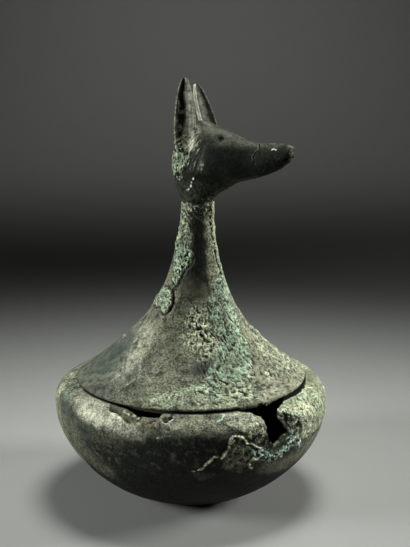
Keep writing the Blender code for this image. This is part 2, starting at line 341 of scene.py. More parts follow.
class Skin:
    """The points of a turned wall, and what its relief and its colours need to know about each."""

    def __init__(self, profile, normals, outer, angles, outside):
        rows, columns = self.shape = len(profile), len(angles)
        self.angle = (np.tile(angles, rows) + 180.0) % 360.0 - 180.0
        turn = np.radians(self.angle)
        self.radius, self.height = (np.repeat(profile[:, k], columns) for k in (0, 1))
        self.outer = np.repeat(outer, columns).astype(float)
        self.flat = np.stack([np.sin(turn), -np.cos(turn), np.zeros(len(turn))], axis=1)
        self.points = self.flat * self.radius[:, None]
        self.points[:, 2] = self.height
        tilt = np.repeat(normals, columns, axis=0)
        self.normals = self.flat * tilt[:, :1]
        self.normals[:, 2] = tilt[:, 1]
        self.worn = np.stack([rough(self.points, 5.0, 3, seed) for seed in (3, 8)], axis=1)
        self.rise, self.masks = 0.0, {}
        # how far down the outer profile each height is, for distances on the surface
        self.heights, self.runs = outside[:, 1][::-1], lengths_along(outside)[::-1]
        self.run = np.interp(self.height, self.heights, self.runs)

    def away(self, line, ragged):
        """Where each spot of a line is from every point, in millimetres across and along the surface."""
        scale = np.radians(1.0) * np.maximum(self.radius, 3.0)
        middle = sum(angle for angle, _ in line) / len(line)
        turned = (self.angle - middle + 180.0) % 360.0 - 180.0
        for angle, height in line:
            across = (angle - middle - turned) * scale + ragged * self.worn[:, 0]
            along = np.interp(height, self.heights, self.runs) - self.run + ragged * self.worn[:, 1]
            yield across, along

    def near_line(self, line, ragged=0.4):
        """Distance from a line on the surface."""
        best = np.full(len(self.angle), 1e9)
        for (ax, ay), (bx, by) in itertools.pairwise(self.away(line, ragged)):
            dx, dy = bx - ax, by - ay
            share = unit(-(ax * dx + ay * dy) / (dx * dx + dy * dy + 1e-9))
            best = np.minimum(best, np.hypot(ax + dx * share, ay + dy * share))
        return best

    def stroke(self, line, half_width, ragged=0.4, soft=0.5):
        """1 along a line, falling to 0 at its sides."""
        edge = half_width * soft
        return 1.0 - smooth(half_width - edge, half_width + edge, self.near_line(line, ragged))

    def region(self, outline, soft=1.0, ragged=1.0):
        """1 inside a closed outline on the surface, falling to 0 across its edge."""
        loop = (*outline, outline[0])
        inside = np.zeros(len(self.angle), bool)
        for (ax, ay), (bx, by) in itertools.pairwise(self.away(loop, ragged)):
            at = ax - ay * (bx - ax) / np.where(np.abs(by - ay) < 1e-9, 1e-9, by - ay)
            inside ^= ((ay > 0) != (by > 0)) & (at > 0)
        gap = self.near_line(loop, ragged)
        return smooth(-soft, soft, np.where(inside, gap, -gap))

    def patch(self, angle, height, half_width, half_height, ragged=1.0, soft=0.35):
        """1 inside an oval, falling to 0 past its ragged edge."""
        ((across, along),) = self.away([(angle, height)], ragged)
        reach = np.hypot(across / half_width, along / half_height)
        return 1.0 - smooth(1.0 - soft, 1.0 + soft, reach)

    def grow(self, where, height=0.0, **coats):
        """Raises the skin where this is 1, and lays coats on the masks; what is laid twice doesn't pass 1."""
        self.rise = self.rise + where * height
        for name, amount in coats.items():
            laid = where * amount * self.outer
            self.masks[name] = unit(np.maximum(self.masks.get(name, 0.0), laid))

    def clear(self, where, *names):
        """Takes masks away where this is 1."""
        for name in names:
            if name in self.masks:
                self.masks[name] = self.masks[name] * (1.0 - unit(where))

    def keep_height(self, rise):
        """Keeps how far each point stands above its neighbours, so that low places are painted darker, partly dirt
        and partly painted shade, and tops paler as a painted highlight.
        """
        grid = level = rise.reshape(self.shape)
        for _ in range(4):
            level = (np.roll(level, 1, 1) + level + np.roll(level, -1, 1)) / 3
            padded = np.concatenate([level[:1], level, level[-1:]])
            level = (padded[:-2] + padded[1:-1] + padded[2:]) / 3
        self.masks["rise"] = unit(0.5 + 2.2 * (grid - level)).ravel()

    def piece(self, name, points, material):
        """A closed piece from the skin's grid of points, whose first and last rows have shrunk to the axis."""
        rows, columns = self.shape
        count = (rows - 2) * columns
        ends = [0, (rows - 1) * columns]
        keep = np.concatenate([np.arange(columns, columns + count), ends])
        corners = points[keep]
        corners[-2:] = [points[end:end + columns].mean(0) for end in ends]
        index = np.arange(count).reshape(rows - 2, columns)
        after = np.roll(index, -1, axis=1)
        quads = np.stack([index[:-1], index[1:], after[1:], after[:-1]], axis=-1).reshape(-1, 4)
        top = np.stack([np.full(columns, count), index[0], after[0]], axis=-1)
        bottom = np.stack([index[-1], np.full(columns, count + 1), after[-1]], axis=-1)
        piece = meshed(name, corners * MM, quads.tolist() + top.tolist() + bottom.tolist())
        piece.data.materials.append(material)
        store(piece.data, {mask: value[keep] for mask, value in self.masks.items()})
        return piece


DENT_DEPTH, DENT_SPACING, DENT_SHIFT = 0.9, 38.0, Vector((3.1, 0.0, 7.7))


def hammered(points):
    """The slow unevenness of a wall made by hand, in millimetres outwards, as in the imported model."""
    return np.array([DENT_DEPTH * noise.noise(Vector(p) / DENT_SPACING + DENT_SHIFT) for p in points])


# ------------------------------ the bowl

SAG_ANGLE = 12.0  # where the shoulder has sunk away from the lid's rim
SAG = 0.6
BOWL_ROWS, BOWL_ROWS_INSIDE = 158, 26
BOWL_COLUMNS = 320, 150  # in front and behind
# Lines over the bowl and outlines of patches on it
FLAKED = spots(
    -41.5, 53.3, -39, 52.3, -36.4, 51.5, -31.6, 51, -28.4, 50, -23.8, 49.2, -21.5, 49.6, -20, 50.4, -20, 53.3
)
BROKEN_LIP = spots(-36, 52.6, -32.2, 52.3, -28.2, 51.9, -23.9, 51.7, -21.9, 51)
RUST = spots(-23.8, 49.4, -21.1, 49.6, -18, 50.6, -14.7, 51.3, -12.1, 50.6, -11.9, 48.7, -16.6, 47.3, -20, 48)
# the two lines of the painted highlight on the left shoulder
HIGHLIGHT_CORE = spots(-50, 49.4, -44.9, 49, -38.1, 48.6, -33.4, 48.8, -29.1, 47.8, -23.8, 46.8, -20.2, 47)
HIGHLIGHT_UPPER = spots(-57, 51.2, -52.5, 51.6, -48, 51.8, -42, 51)
DARK_BLOTCH = spots(-68, 47.6, -62, 46.8, -56.1, 45.3, -51.4, 43.2, -47.3, 41, -45, 40.6)
GRANULAR = spots(-90, 52.2, -82, 50.8, -77.5, 48.7, -79, 45.5)
LEFT_FLANK = spots(-95, 51.8, -83, 47.9, -77, 43, -72, 36, -66, 29, -62, 22)
CHIP = spots(-12.5, 51.5, -11.3, 52.3, -8.7, 52.5, -6.7, 52.5, -7.3, 51.5, -9.6, 50.7, -11.7, 50.4)
CHIP_ARC = spots(-12, 45, -7.4, 46.3, -5.7, 48, -4, 49, -2.2, 50, 0.5, 50.6)
RIDGE = spots(0.8, 30.4, 2.3, 30.8, 4.4, 31.5, 5.9, 32.6, 7.9, 35.1, 9.3, 37.1, 11.1, 37.3)
RIDGE_RIGHT = spots(
    12.6, 36.2, 13.5, 37.6, 14.7, 39.3, 15.2, 41.9, 17.1, 43, 18.6, 42.9, 21, 44, 22.4, 41.3, 25, 40.9, 28.6, 38.5
)
RIDGE_LOOP = spots(15.2, 41.9, 15.5, 43.4, 16.5, 44.7, 18, 44.8, 21.1, 44.1)
LEFT_OF_HOLE = spots(14.4, 52.4, 14.4, 50.7, 15.5, 49.2, 17.3, 47.2, 20.7, 46.4, 26.2, 44.6, 32, 43.7, 33, 52.6)
ROUGH_BY_HOLE = spots(20.5, 46.8, 23, 48.2, 26.2, 48.8, 33, 49, 33, 43, 30.8, 40.5, 27, 41.3, 21.8, 44.3)
BROWN_FIELD = spots(
    12.8, 36.6, 15.2, 41.9, 19.2, 43.4, 22.4, 40.6, 27.6, 38.4, 32, 36, 28.5, 33, 23.1, 30.6, 20.5, 28, 13.5, 30.6
)
VERDIGRIS_LINE = spots(
    26, 38.4, 28.4, 36.2, 31, 34.2, 35, 32.6, 38.5, 33.4, 41.9, 35.6, 43.6, 38.2, 46.4, 37.6, 49.6, 34.6
)
RING = spots(24.8, 29.7, 23.9, 32.2, 25.1, 33.5, 27.1, 33.8, 29.6, 31.9, 29, 30.2, 26, 29.1)
RIGHT_CRUST = spots(
    40.5, 53, 45.7, 53.2, 64, 53.4, 90, 53.4, 118, 53, 124, 46, 100, 40.5, 82, 37.5, 66.5, 37, 57.7, 36, 52.5,
    36.2, 49.5, 38.2, 50.5, 42, 48.5, 46, 45, 48, 40, 48.6, 39, 50
)
CRUST_CORE = spots(45.2, 51.1, 52.6, 51.2, 59, 49.8, 60.1, 45.1, 53, 45.5, 48.7, 48.4, 43.5, 50.2)
BLOB = spots(38, 50.6, 41.4, 50.2, 44.8, 49, 47.5, 46.8, 50.4, 43, 49.4, 39.6, 45.4, 39.6, 41, 43, 38, 46)
BLOB_CRACK = spots(43.4, 49.4, 46.8, 48, 49.6, 45.4, 51.4, 42.4, 50.2, 39.4)
SMOOTH_RIGHT = spots(100, 53.4, 98, 50, 84, 47.4, 78, 45.6, 72, 47.4, 74, 51, 78, 53.4)
DARK_BY_HOLE = spots(35, 39.4, 34.4, 36.4, 37.4, 34.8, 40.6, 36, 43, 38.6, 44, 41.4, 40, 40.6)
LOW_RIGHT = spots(
    31.1, 30.8, 38.1, 30.4, 45.5, 31, 52.1, 33, 58.5, 35.5, 78, 33, 68, 24, 50.5, 22.1, 38, 23, 30, 26.5
)
LOW_LEFT = spots(-60, 40, -54, 31, -42, 24)
LOW_LINES = spots(1, 29.6, 10, 30, 11, 26.4, 4, 25)
GLINTS = spots(-12, 50.4, -10.2, 50.2, -8.7, 50.9, -6.8, 51.8)
FLECK = spots(11.5, 50.8, 13.8, 51.5, 15.7, 52.3)
# Where the mouth's edge is gone: angle from the front and how far out
LEFT_BREAK = spots(
    -41.5, 49.6, -39, 50.6, -36, 51.2, -32, 52, -28.5, 52.4, -26, 53.1, -24, 53.9, -22, 55, -19.5, 54.9, -17,
    54.8, -14.6, 54.6, -13, 54, -12.4, 52.6, -12, 51.5, -10, 51, -8, 50
)
RIGHT_BREAK = spots(
    21.5, 50, 23, 51, 25, 53, 27, 53.4, 28.5, 55.2, 30, 56.2, 32, 57, 34, 57.2, 37, 57.4, 39, 57.2, 40, 56, 41,
    55.2, 43, 54.6, 45, 53.8, 48, 52.2, 52, 50
)
BREAK_BACK = 39.0  # how far out the cut starts, inside the mouth
# The hole through the belly below it: along the belly and up, from its middle
HOLE_ANGLE, HOLE_HEIGHT = 35.0, 45.0
HOLE = spots(
    -3.8, 8.5, -4.2, 4.4, -3.7, 2, -3.9, 0.4, -3.3, -1.2, -3, -3, -2.2, -4.6, -0.6, -6, 0.4, -7.4, 1.6, -6.6, 3.1,
    -5.8, 4.1, -4.2, 5.2, -3.6, 6.4, -3.4, 7.8, -2.9, 7.2, -1.6, 6.1, -0.4, 5.8, 0.8, 5.4, 2, 4.4, 2.8, 3.8, 4, 4,
    5, 3.6, 6.4, 5.6, 8.5
)
TORN_STEP = 0.45  # how far apart the points of a torn edge are


def bowl_outside():
    """From the lip of the mouth, over the shoulder and the belly, to the edge of the flat foot."""
    sizes = bpy.context.scene.vase_bowl
    belly, widest = sizes.belly_radius / MM, sizes.belly_height / MM
    mouth, top = sizes.mouth_radius / MM, BOWL_HIGH.z
    shoulder = arc((mouth, top), (54.5, top - 0.7), (belly, top - 3.1), (belly, widest))
    below = arc((belly, widest), (belly, 18.6), (31.0, 0.0), (sizes.foot_radius / MM, 0.0))
    return np.concatenate([shoulder, below[1:]])


def bowl_skin():
    wall = bpy.context.scene.vase_bowl.wall / MM
    outside = respaced(bowl_outside(), BOWL_ROWS)
    inside = respaced(inset(bowl_outside(), wall), BOWL_ROWS_INSIDE)[::-1]
    lip = [(outside[0, 0] - 0.5, outside[0, 1] - wall / 2)]
    under = [(12.0, 0.0), (6.0, 0.0), (0.0, 0.0)]
    middle = [(0.0, wall), (9.0, wall)]
    profile = np.concatenate([middle, inside, lip, outside, under])
    normals = np.concatenate(
        [[(0.0, 1.0)] * 2, -outward(inside[::-1])[::-1], [(-1.0, 0.0)], outward(outside), [(0.0, -1.0)] * 3]
    )
    outer = np.arange(len(profile)) > len(middle) + len(inside)
    return Skin(profile, normals, outer, angles_round(*BOWL_COLUMNS), outside)


def bowl_relief(skin):
    """How far each point of the outside stands out from the turned form, and the masks of its colours."""
    grow, clear, stroke, region = skin.grow, skin.clear, skin.stroke, skin.region
    p, a, z = skin.points, skin.angle, skin.height
    aside = np.abs(a)
    fine, small, slow, broad = rough(p, 1.9, 2, 11), rough(p, 3.6, 3, 12), rough(p, 12, 3, 13), rough(p, 26, 2, 14)
    grain, number = grains(p, 1.3, 1)
    pits = smooth(0.25, 0.65, rough(p, 1.7, 2, 18)) * smooth(-0.3, 0.3, rough(p, 6, 2, 19))
    folds = bark(skin, 60, 15)
    behind = smooth(95, 125, aside)
    grow(1, 0.14 * slow + 0.08 * small + 0.05 * fine + 0.06 * bark(skin, -35, 32) * smooth(40, 46, z))

    # lower down it is darker: the dark metal is laid there, with a little olive earth, partly the metal's own colour
    # and partly painted shade
    front = smooth(75, 45, np.abs(a + 2))
    wavy = z + 2 * broad + 1.5 * small
    grow(smooth(34, 22, wavy), bare=0.95)
    grow(front, bare=smooth(51, 41.5, wavy + 1.5 * fine), beige=smooth(45.5, 51, wavy) * unit(0.5 + 0.8 * small))
    mottled = front * smooth(-0.15, 0.4, 0.5 * small + 0.8 * fine) * smooth(16, 34, z)
    earthy = smooth(0.1, 0.5, fine) * smooth(30, 55, aside)
    grow(mottled, brown=0.3 + 0.35 * smooth(20, 50, aside), beige=earthy * 0.45)
    low_right = 0.75 * region(LOW_RIGHT, 3.2, 2.5)
    low_left = stroke(LOW_LEFT, 6, 3, 0.95)
    clear(0.8 * low_right + 0.5 * low_left, "bare")
    grow(np.maximum(low_right, 0.7 * low_left), brown=unit(0.5 + 0.5 * small))

    # what grew all over, thicker on the right and behind
    far_left = smooth(-145, -115, a) * smooth(-60, -90, a)
    grown = behind * smooth(-0.05, 0.3, broad) * smooth(24, 34, z) * (1 - far_left)
    right, under = unit(region(RIGHT_CRUST, 1, 1.6) + grown), region(RIGHT_CRUST, 6, 3.5)
    core = region(CRUST_CORE, 2, 2)
    grainy = rough(p, 1.5, 2, 29)
    clear(right, "bare")
    clear(under * 0.8, "bare")
    grow(under, brown=0.5, beige=smooth(-0.2, 0.4, small + 0.6 * fine) * 0.8)
    grow(right, 0.3 + 0.24 * small + 0.25 * grainy + 0.05 * folds - 0.5 * pits, green=unit(0.6 + 0.6 * small),
         beige=1, coarse=1, dark=pits * 0.8)
    grow(right * unit(0.2 + 0.9 * slow + 0.6 * grainy) * 0.8 + 0.6 * core, cream=1)
    grow(core, 0.15)

    # a lump by the hole with a deep crack behind it
    blob = region(BLOB, 0.4, 0.8)
    crack = stroke(BLOB_CRACK, 0.55, 2.2, 0.8) * smooth(-0.3, 0.2, small)
    plain = region(SMOOTH_RIGHT, 1.6, 1.6)
    clear(blob, "cream", "green", "beige")
    grow(blob, 0.8 * small + 0.6 * grainy - 0.6 * smooth(-0.1, 0.4, ripple(p, 2.6, 26)), bare=0.7,
         green=smooth(-0.2, 0.3, grainy + 0.4 * small) * 0.6, cream=smooth(0.2, 0.6, grainy) * 0.4,
         dark=smooth(0.2, -0.25, grainy + small) * 0.9)
    clear(plain * 0.65, "cream", "green", "dark")
    grow(plain, -0.25 * right * small, brown=0.35)
    grow(crack, -0.3, dark=smooth(0.2, -0.3, grainy))

    # the left front, where the skin is smooth, with a painted highlight across its shoulder
    pale = np.maximum(stroke(HIGHLIGHT_CORE, 2.9, 1.6, 0.98), 0.5 * stroke(HIGHLIGHT_UPPER, 3.6, 2, 0.95))
    below_pale = smooth(-16, -32, a) * smooth(-66, -56, a) * smooth(30, 45, z + 2 * slow)
    clear(pale, "bare")
    clear(below_pale * 0.35, "bare")
    grow(below_pale, brown=unit(0.3 + 1.2 * small + 0.9 * fine) * 0.7)
    # its pale and cream coats are a painted highlight, fading towards the middle
    pale = pale * (0.4 + 0.6 * smooth(-24, -40, a))
    grow(pale, pale=unit(0.95 + 0.4 * small + 0.5 * fine), cream=smooth(-0.5, 0.4, small + 0.4 * fine) * 0.6)
    grow(smooth(45.5, 49, z) * smooth(-60, -67, a) * smooth(-78, -73, a), verdigris=0.2)
    flank = stroke(LEFT_FLANK, 3.2, 2, 0.95)
    clear(flank, "bare")
    grow(flank, beige=0.9, brown=smooth(44, 38, z) * 0.7)
    grow(stroke(GRANULAR, 2.6, 2, 0.9), 0.3 * fine, green=0.6, cream=unit(0.4 + small + 0.6 * fine) * 0.8,
         dark=smooth(-0.1, -0.5, fine) * 0.6)
    blotch = np.maximum(stroke(DARK_BLOTCH, 2.6, 1.6, 0.95), 0.7 * stroke(DARK_BLOTCH[:3], 3, 2, 0.95))
    deepest = stroke(DARK_BLOTCH[2:], 1.7, 1.6, 0.95)
    clear(blotch * 0.85, "pale", "cream", "beige")
    grow(blotch, blue=unit(0.85 + 0.5 * small))
    grow(deepest, bare=1)
    clear(deepest * 0.6, "blue")

    # the flaked place under the left break, with its crisp pale edge, and the rust beside it
    flaked = region(FLAKED, 0.4, 1)
    edge = stroke(FLAKED[:7], 1, 1) * smooth(-0.5, 0.2, small) * (1 - flaked)
    lip = stroke(BROKEN_LIP, 0.8, 0.5) * smooth(-33, -27, a)
    rust = region(RUST, 1, 1.4)
    clear(flaked, "pale", "cream", "beige")
    grow(flaked, 0.4 * small - 0.3, bare=0.8, brown=0.65, beige=smooth(0.1, 0.5, small + 0.5 * fine) * 0.35)
    grow(edge, 0.12, cream=0.2)
    clear(lip * 0.6, "brown")
    grow(lip, cream=smooth(-0.3, 0.3, fine) * 0.7)
    clear(rust, "bare")
    clear(rust * 0.7, "pale", "cream")
    grow(rust, 0.15 + 0.7 * small + 0.3 * fine, brown=0.8, rust=smooth(0, 0.35, rough(p, 2.6, 2, 27)) * 0.6)

    # the small chip in the middle, and painted glints on its upper edge
    glints = stroke(GLINTS, 0.45, 1.3) * smooth(0, 0.3, ripple(p, 1.1, 28))
    grow(region(CHIP, 0.35, 1.6), -0.6, dark=smooth(-0.3, 0.1, ripple(p, 1.6, 30)))
    grow(glints, 0.3, white=0.8)
    clear(glints, "dark")
    grow(stroke(CHIP_ARC, 0.6, 1) * smooth(-0.4, 0.3, small), 0.15, cream=0.3)

    # between the middle and the hole
    plate = region(LEFT_OF_HOLE, 0.35, 0.9)
    field = region(BROWN_FIELD, 1, 1.4)
    clear(plate, "bare")
    clear(plate * 0.8, "brown")
    grow(plate, 0.25 + 0.18 * small, pale=unit(0.45 + 0.8 * small) * 0.7, green=0.3)
    grow(region(ROUGH_BY_HOLE, 1, 1.2), 0.15 + 0.5 * small - 0.7 * pits, cream=unit(0.3 + 0.9 * fine),
         dark=pits, coarse=1)
    grow(stroke(FLECK, 0.55, 0.4), verdigris=1, white=0.5)
    clear(field * 0.8, "bare")
    grow(field, 0.45 * small + 0.3 * fine - 0.25 * pits, brown=unit(0.6 + 0.8 * small) * 0.9, coarse=0.7)

    # thin broken ridges round that field
    thin = np.clip(0.8 + 0.8 * ripple(p, 2.6, 24) + 0.3 * fine, 0.45, 1.2)
    gap = np.min([skin.near_line(line, 0.8) for line in (RIDGE, RIDGE_RIGHT, RIDGE_LOOP)], axis=0)
    ridge = smooth(0.8, 0.1, gap / thin)
    clear(ridge, "bare", "dark")
    grow(ridge, 0.55 * thin, cream=unit(0.15 + 0.75 * thin))
    grow(smooth(0.7, 1.2, gap) * smooth(3, 1.6, gap) * field, dark=smooth(-0.1, 0.25, small) * 0.7)

    # beads of turquoise below the hole, past dark rough metal
    shaded = region(DARK_BY_HOLE, 1, 1)
    clear(shaded * 0.8, "cream", "green", "beige")
    grow(shaded, 0.5 * small, bare=0.9)
    turquoise = np.maximum(stroke(VERDIGRIS_LINE, 2.2, 1.6, 0.7), skin.patch(44.6, 37, 2.8, 2.6, 1.2))
    bead = smooth(0.6, 0.3, grain + 0.35 * fine) * smooth(0.25, 0.5, number)
    ring = stroke(RING + RING[:1], 0.7, 1.2) * smooth(-0.4, 0.2, small)
    grow(turquoise, 0.1 + 0.65 * bead + 0.5 * fine, verdigris=unit(0.5 + 0.8 * bead),
         mint=unit(bead + 0.4) * smooth(-0.3, 0.2, fine + 0.5 * small),
         dark=smooth(0.3, 0.1, bead) * smooth(0.2, -0.3, fine), white=bead * smooth(0.4, 0.6, number))
    grow(ring, 0.2 + 0.45 * bead, white=bead * 0.5, cream=0.55)
    grow(unit(turquoise + ring), coarse=1)
    clear(turquoise + ring, "bare")
    grow(region(LOW_LINES, 0.8, 1.2), 0.25 * folds, blue=0.6)

    # behind: patches of the same growths
    verdigris = smooth(0.3, 0.55, rough(p, 11, 3, 21)) * smooth(20, 34, z)
    grow(behind, brown=smooth(0.05, 0.4, -broad), verdigris=verdigris * 0.6,
         blue=smooth(0.2, 0.5, rough(p, 20, 2, 22)) * 0.8)

    calm = unit(1 - blotch) * (1 - 0.45 * pale) * (1 - 0.85 * skin.masks["bare"]) * (1 - 0.4 * plain)
    grow(calm, pitted=unit(0.65 + 0.5 * slow))
    shoulder = smooth(48, 50, z)
    gaping = smooth(38, 48, a) * smooth(86, 66, a)  # the shoulder has sunk from the rim on the right
    reach = (LID_HIGH.x - LID_LOW.x) / 2 + 0.4 + gaping * (0.7 + 0.9 * small + 0.5 * fine)
    # a painted shadow of the lid's rim: the shoulder just outside the rim is painted dark, widest where it has sunk
    rim_shadow = smooth(reach + 0.8, reach, skin.radius) * shoulder
    grow(rim_shadow, dark=np.where(a < 0, smooth(-80, -56, a), 1))
    seat = smooth(54.5, 51.5, skin.radius) * shoulder  # it lies smooth where the rim stands on it
    return skin.rise * (1 - 0.85 * seat) - 0.8 * gaping * rim_shadow


def on_arc(angle, radius, height):
    turn = math.radians(angle)
    return Vector((radius * math.sin(turn), -radius * math.cos(turn), height))


def torn_prism(name, outline, place, half_depth, jag, layers=9):
    """An outline cut with a torn edge: a prism whose sides wander, for taking metal away."""
    loop = np.array([p[:2] for p in (*outline, outline[0])], float)
    count = int(lengths_along(loop)[-1] / TORN_STEP)
    edge = respaced(loop, count, closed=True)
    along = np.roll(edge, -1, axis=0) - np.roll(edge, 1, axis=0)
    along /= np.linalg.norm(along, axis=1)[:, None] + 1e-9
    out = np.stack([along[:, 1], -along[:, 0]], axis=1)
    corners = []
    for depth in np.linspace(-half_depth, half_depth, layers):
        here = np.column_stack([edge, np.full(count, depth)])
        torn = jag * (0.65 * ripple(here, 2.4, 31) + 0.5 * ripple(here, 1.0, 32))
        corners.append(np.column_stack([edge + out * torn[:, None], here[:, 2]]))
    cutter = meshed(name, np.concatenate(corners) * MM, tube_faces(layers, count))
    cutter.matrix_world = place
    outward_again(cutter)
    return cutter


def break_cutter(name, line):
    """An upright torn prism over the broken part of the mouth's edge."""
    outline = [on_arc(a, r, 0.0) for a, r in line] + [on_arc(a, BREAK_BACK, 0.0) for a, _ in reversed(line)]
    place = Matrix.Translation((0.0, 0.0, (BOWL_HIGH.z - 1.2) * MM))
    return torn_prism(name, outline, place, half_depth=5.0, jag=0.55)


def hole_cutter():
    place = on_arc(HOLE_ANGLE, bpy.context.scene.vase_bowl.belly_radius / MM, HOLE_HEIGHT) * MM
    facing = Matrix.Rotation(math.radians(HOLE_ANGLE), 4, "Z") @ Matrix.Rotation(math.radians(90), 4, "X")
    return torn_prism("belly_hole", HOLE, Matrix.Translation(place) @ facing, half_depth=8.0, jag=0.5)


def cut_away(piece, masks, cutters, broken):
    """Takes the cutters' shapes out of the piece; the faces they leave get the broken metal's material."""
    tree = kdtree.KDTree(len(piece.data.vertices))
    for i, vertex in enumerate(piece.data.vertices):
        tree.insert(vertex.co, i)
    tree.balance()
    piece.data.materials.append(broken)
    for cutter in cutters:
        cutter.data.materials.append(broken)
        boolean = piece.modifiers.new(cutter.name, "BOOLEAN")
        boolean.operation = "DIFFERENCE"
        boolean.solver = "EXACT"
        boolean.material_mode = "TRANSFER"
        boolean.object = cutter
    values = {name: np.array([v.value for v in piece.data.attributes[name].data]) for name in masks}
    mesh = settled(piece)
    for cutter in cutters:
        bpy.data.objects.remove(cutter)
    nearest = np.array([tree.find(vertex.co)[1] for vertex in mesh.vertices])
    store(mesh, {name: value[nearest] for name, value in values.items()})


def make_bowl():
    skin = bowl_skin()
    shift = hammered(skin.points) * np.minimum(1.0, skin.height / 20.0)
    sunk = unit((skin.height - 47.0) / 5.0) * np.exp(-(((skin.angle - SAG_ANGLE) / 34.0) ** 2))
    rise = bowl_relief(skin) * bpy.context.scene.vase_bowl.relief * skin.outer
    points = skin.points + skin.flat * shift[:, None] + skin.normals * rise[:, None]
    points[:, 2] = np.maximum(points[:, 2] - SAG * sunk, 0.0)
    skin.keep_height(rise)
    skin.masks["inside"] = 1.0 - skin.outer
    piece = skin.piece("patinated_bowl", points, patina("bowl_patina"))
    cutters = [break_cutter("left_break", LEFT_BREAK), break_cutter("right_break", RIGHT_BREAK), hole_cutter()]
    cut_away(piece, skin.masks, cutters, fracture("broken_bronze"))
    return smoothed(piece, 55)


# ------------------------------ the lid

LID_ROWS, LID_ROWS_INSIDE, FLANGE_ROWS = 186, 18, 12
LID_COLUMNS = 280, 130  # in front and behind
FLANGE_WALL = 1.3
LEAN = 0.04  # how far sideways the neck leans for each millimetre above the rim
# Lines over the lid and outlines of patches on it
LOBE = spots(
    -84, 88, -78, 92.8, -62, 94.2, -48, 94, -42.6, 93.6, -37.2, 90.4, -33.6, 88.8, -37, 86.2, -43.7, 84.3, -49,
    85, -55.7, 86.8, -64.8, 86, -75.4, 85.4
)
CRACK = spots(
    -45, 84, -40.5, 84.4, -34.8, 86.1, -31, 88.7, -35, 90.6, -40, 93.4, -40.2, 95.6, -31.1, 97.8, -27.3, 100.1,
    -19.1, 103.6, -12.5, 106, -8, 107.8
)
LOBE_ARC = spots(-55, 86.3, -60, 85.9, -68, 85.2, -72.5, 83.9, -81.5, 80.8, -88, 79.6)
LEFT_BAND = spots(
    -76.8, 131.3, -28.4, 131.3, -26, 128.8, -36, 125, -28.2, 121.7, -18.6, 119.5, -17, 114, -5.8, 110.2, -8.1,
    107.4, -19.3, 103.9, -28.1, 101, -39, 97.6, -49.6, 96.4, -56.5, 101.4, -65, 106.9, -84.8, 113.2, -80, 122.4
)
LEFT_PITS = spots(-24, 109, -30, 106.6, -33, 104.6, -38.5, 102.8, -36, 100.4)
GREY_LEFT = spots(-67.3, 105.9, -80, 103, -84, 97.3, -74, 95.1, -50.7, 94.6, -51.8, 98.3, -53.6, 102)
DARK_STRIP = spots(
    -25.9, 125.1, -3.2, 126.3, 19.1, 124.2, 30.5, 120.8, 24.1, 117.5, 31.3, 114.5, 27.5, 108.9, 27.1, 103.2, 27.5,
    97.6, 26.8, 92.2, 10, 89.6, -11.5, 90.9, -26.7, 94.9, -30, 96.9, -20, 101.5, -11.5, 105.2, -5.9, 109.5, -14.6,
    117.5
)
PIT_LINE = spots(49.6, 129.1, 55.1, 124.7, 56.6, 116.9, 64.8, 112.3, 64.1, 106.5, 70.4, 102.5, 65, 97.9, 61, 94)
TURQUOISE_TOP = spots(62, 96, 57, 92, 56, 89, 44, 89.6, 34, 89.5, 35.4, 84.9, 35.7, 81.3)
TURQUOISE_RUN = spots(
    35.7, 81.3, 36, 77.3, 33, 73.6, 26.5, 70, 24.4, 67.2, 19.7, 65.4, 15.6, 62.3, 13.3, 60.1, 13, 58
)
MINT = spots(
    74, 98, 68, 91.5, 61.8, 87.3, 58, 82.8, 52.4, 78.3, 47, 72.8, 44.6, 69.6, 42, 66.4, 37.4, 64.4, 31, 63.8, 26,
    63
)
BEIGE_BAND = spots(
    57, 76, 63, 80, 71.6, 80.4, 78.6, 76.6, 80, 71, 66, 67.2, 57.5, 64.6, 51.5, 61.7, 47.5, 59, 45.5, 56.8, 39,
    57.5, 41, 60, 44.5, 63.3, 47.6, 65.9, 49.5, 69.3, 53.5, 72.6
)
CREAM_RIGHT = spots(60, 69.8, 70, 73, 86, 73, 104, 67, 100, 57.6, 86, 57.6, 72, 59, 60, 60.2, 55.4, 61.4, 55, 64.4)
OLIVE_RIGHT = spots(56, 60, 71, 58.4, 86, 56.6, 96, 53.8, 72.9, 53.6, 45, 54, 40, 55, 47, 58.4)
STREAKS = spots(24, 88.3, 45.2, 86.4, 41.9, 81.6, 24.5, 80.8, 18.5, 84.4)
DARK_STREAK = spots(38, 80.4, 42.1, 76.6, 42, 73.6)
OLIVE_CLOUD = spots(-34, 91, -8, 90, -9, 82, -12, 74, -2, 68, -10, 65, -24, 72)
SLITS = (
    spots(48.8, 84.5, 50.8, 82.6, 53.7, 80.5), spots(40.7, 80.8, 37.6, 79.5, 39.2, 77.6),
    spots(47, 72.7, 48.3, 71.3), spots(29.4, 65.9, 32.6, 66.2, 36.2, 65.4), spots(17.8, 62.2, 21.2, 60.6),
    spots(31.7, 76.6, 32.6, 74.7), spots(45, 69.4, 45.8, 68), spots(19.2, 78.2, 22.2, 76.1),
    spots(26.7, 58.2, 29.6, 57.1), spots(55.6, 61.4, 53, 59.7),
)
PALE_LUMPS = spots(
    -10.3, 82.1, -2, 85.8, 6, 87.3, 15.1, 87, 21.3, 84.5, 21.2, 79.7, 22.5, 74.2, 20.6, 70.4, 10.6, 69.6, 1.5,
    72.6, -6, 75
)
BIG_PITS = (  # angle, height, half-width and half-height
    (6.5, 79.8, 1.5, 0.9), (8.6, 77.4, 0.7, 0.6), (14.0, 74.9, 1.0, 0.9), (0.0, 74.5, 0.8, 0.6),
    (16.0, 72.0, 0.8, 0.7), (11.4, 69.7, 0.7, 0.5),
)
BLUE_FLANK = spots(
    -104, 73, -91.8, 73.6, -69.1, 75, -54, 72.6, -50.7, 68, -51.5, 64.7, -53.8, 61.1, -56.3, 58.7, -64, 56.8,
    -88.7, 58, -104, 60
)
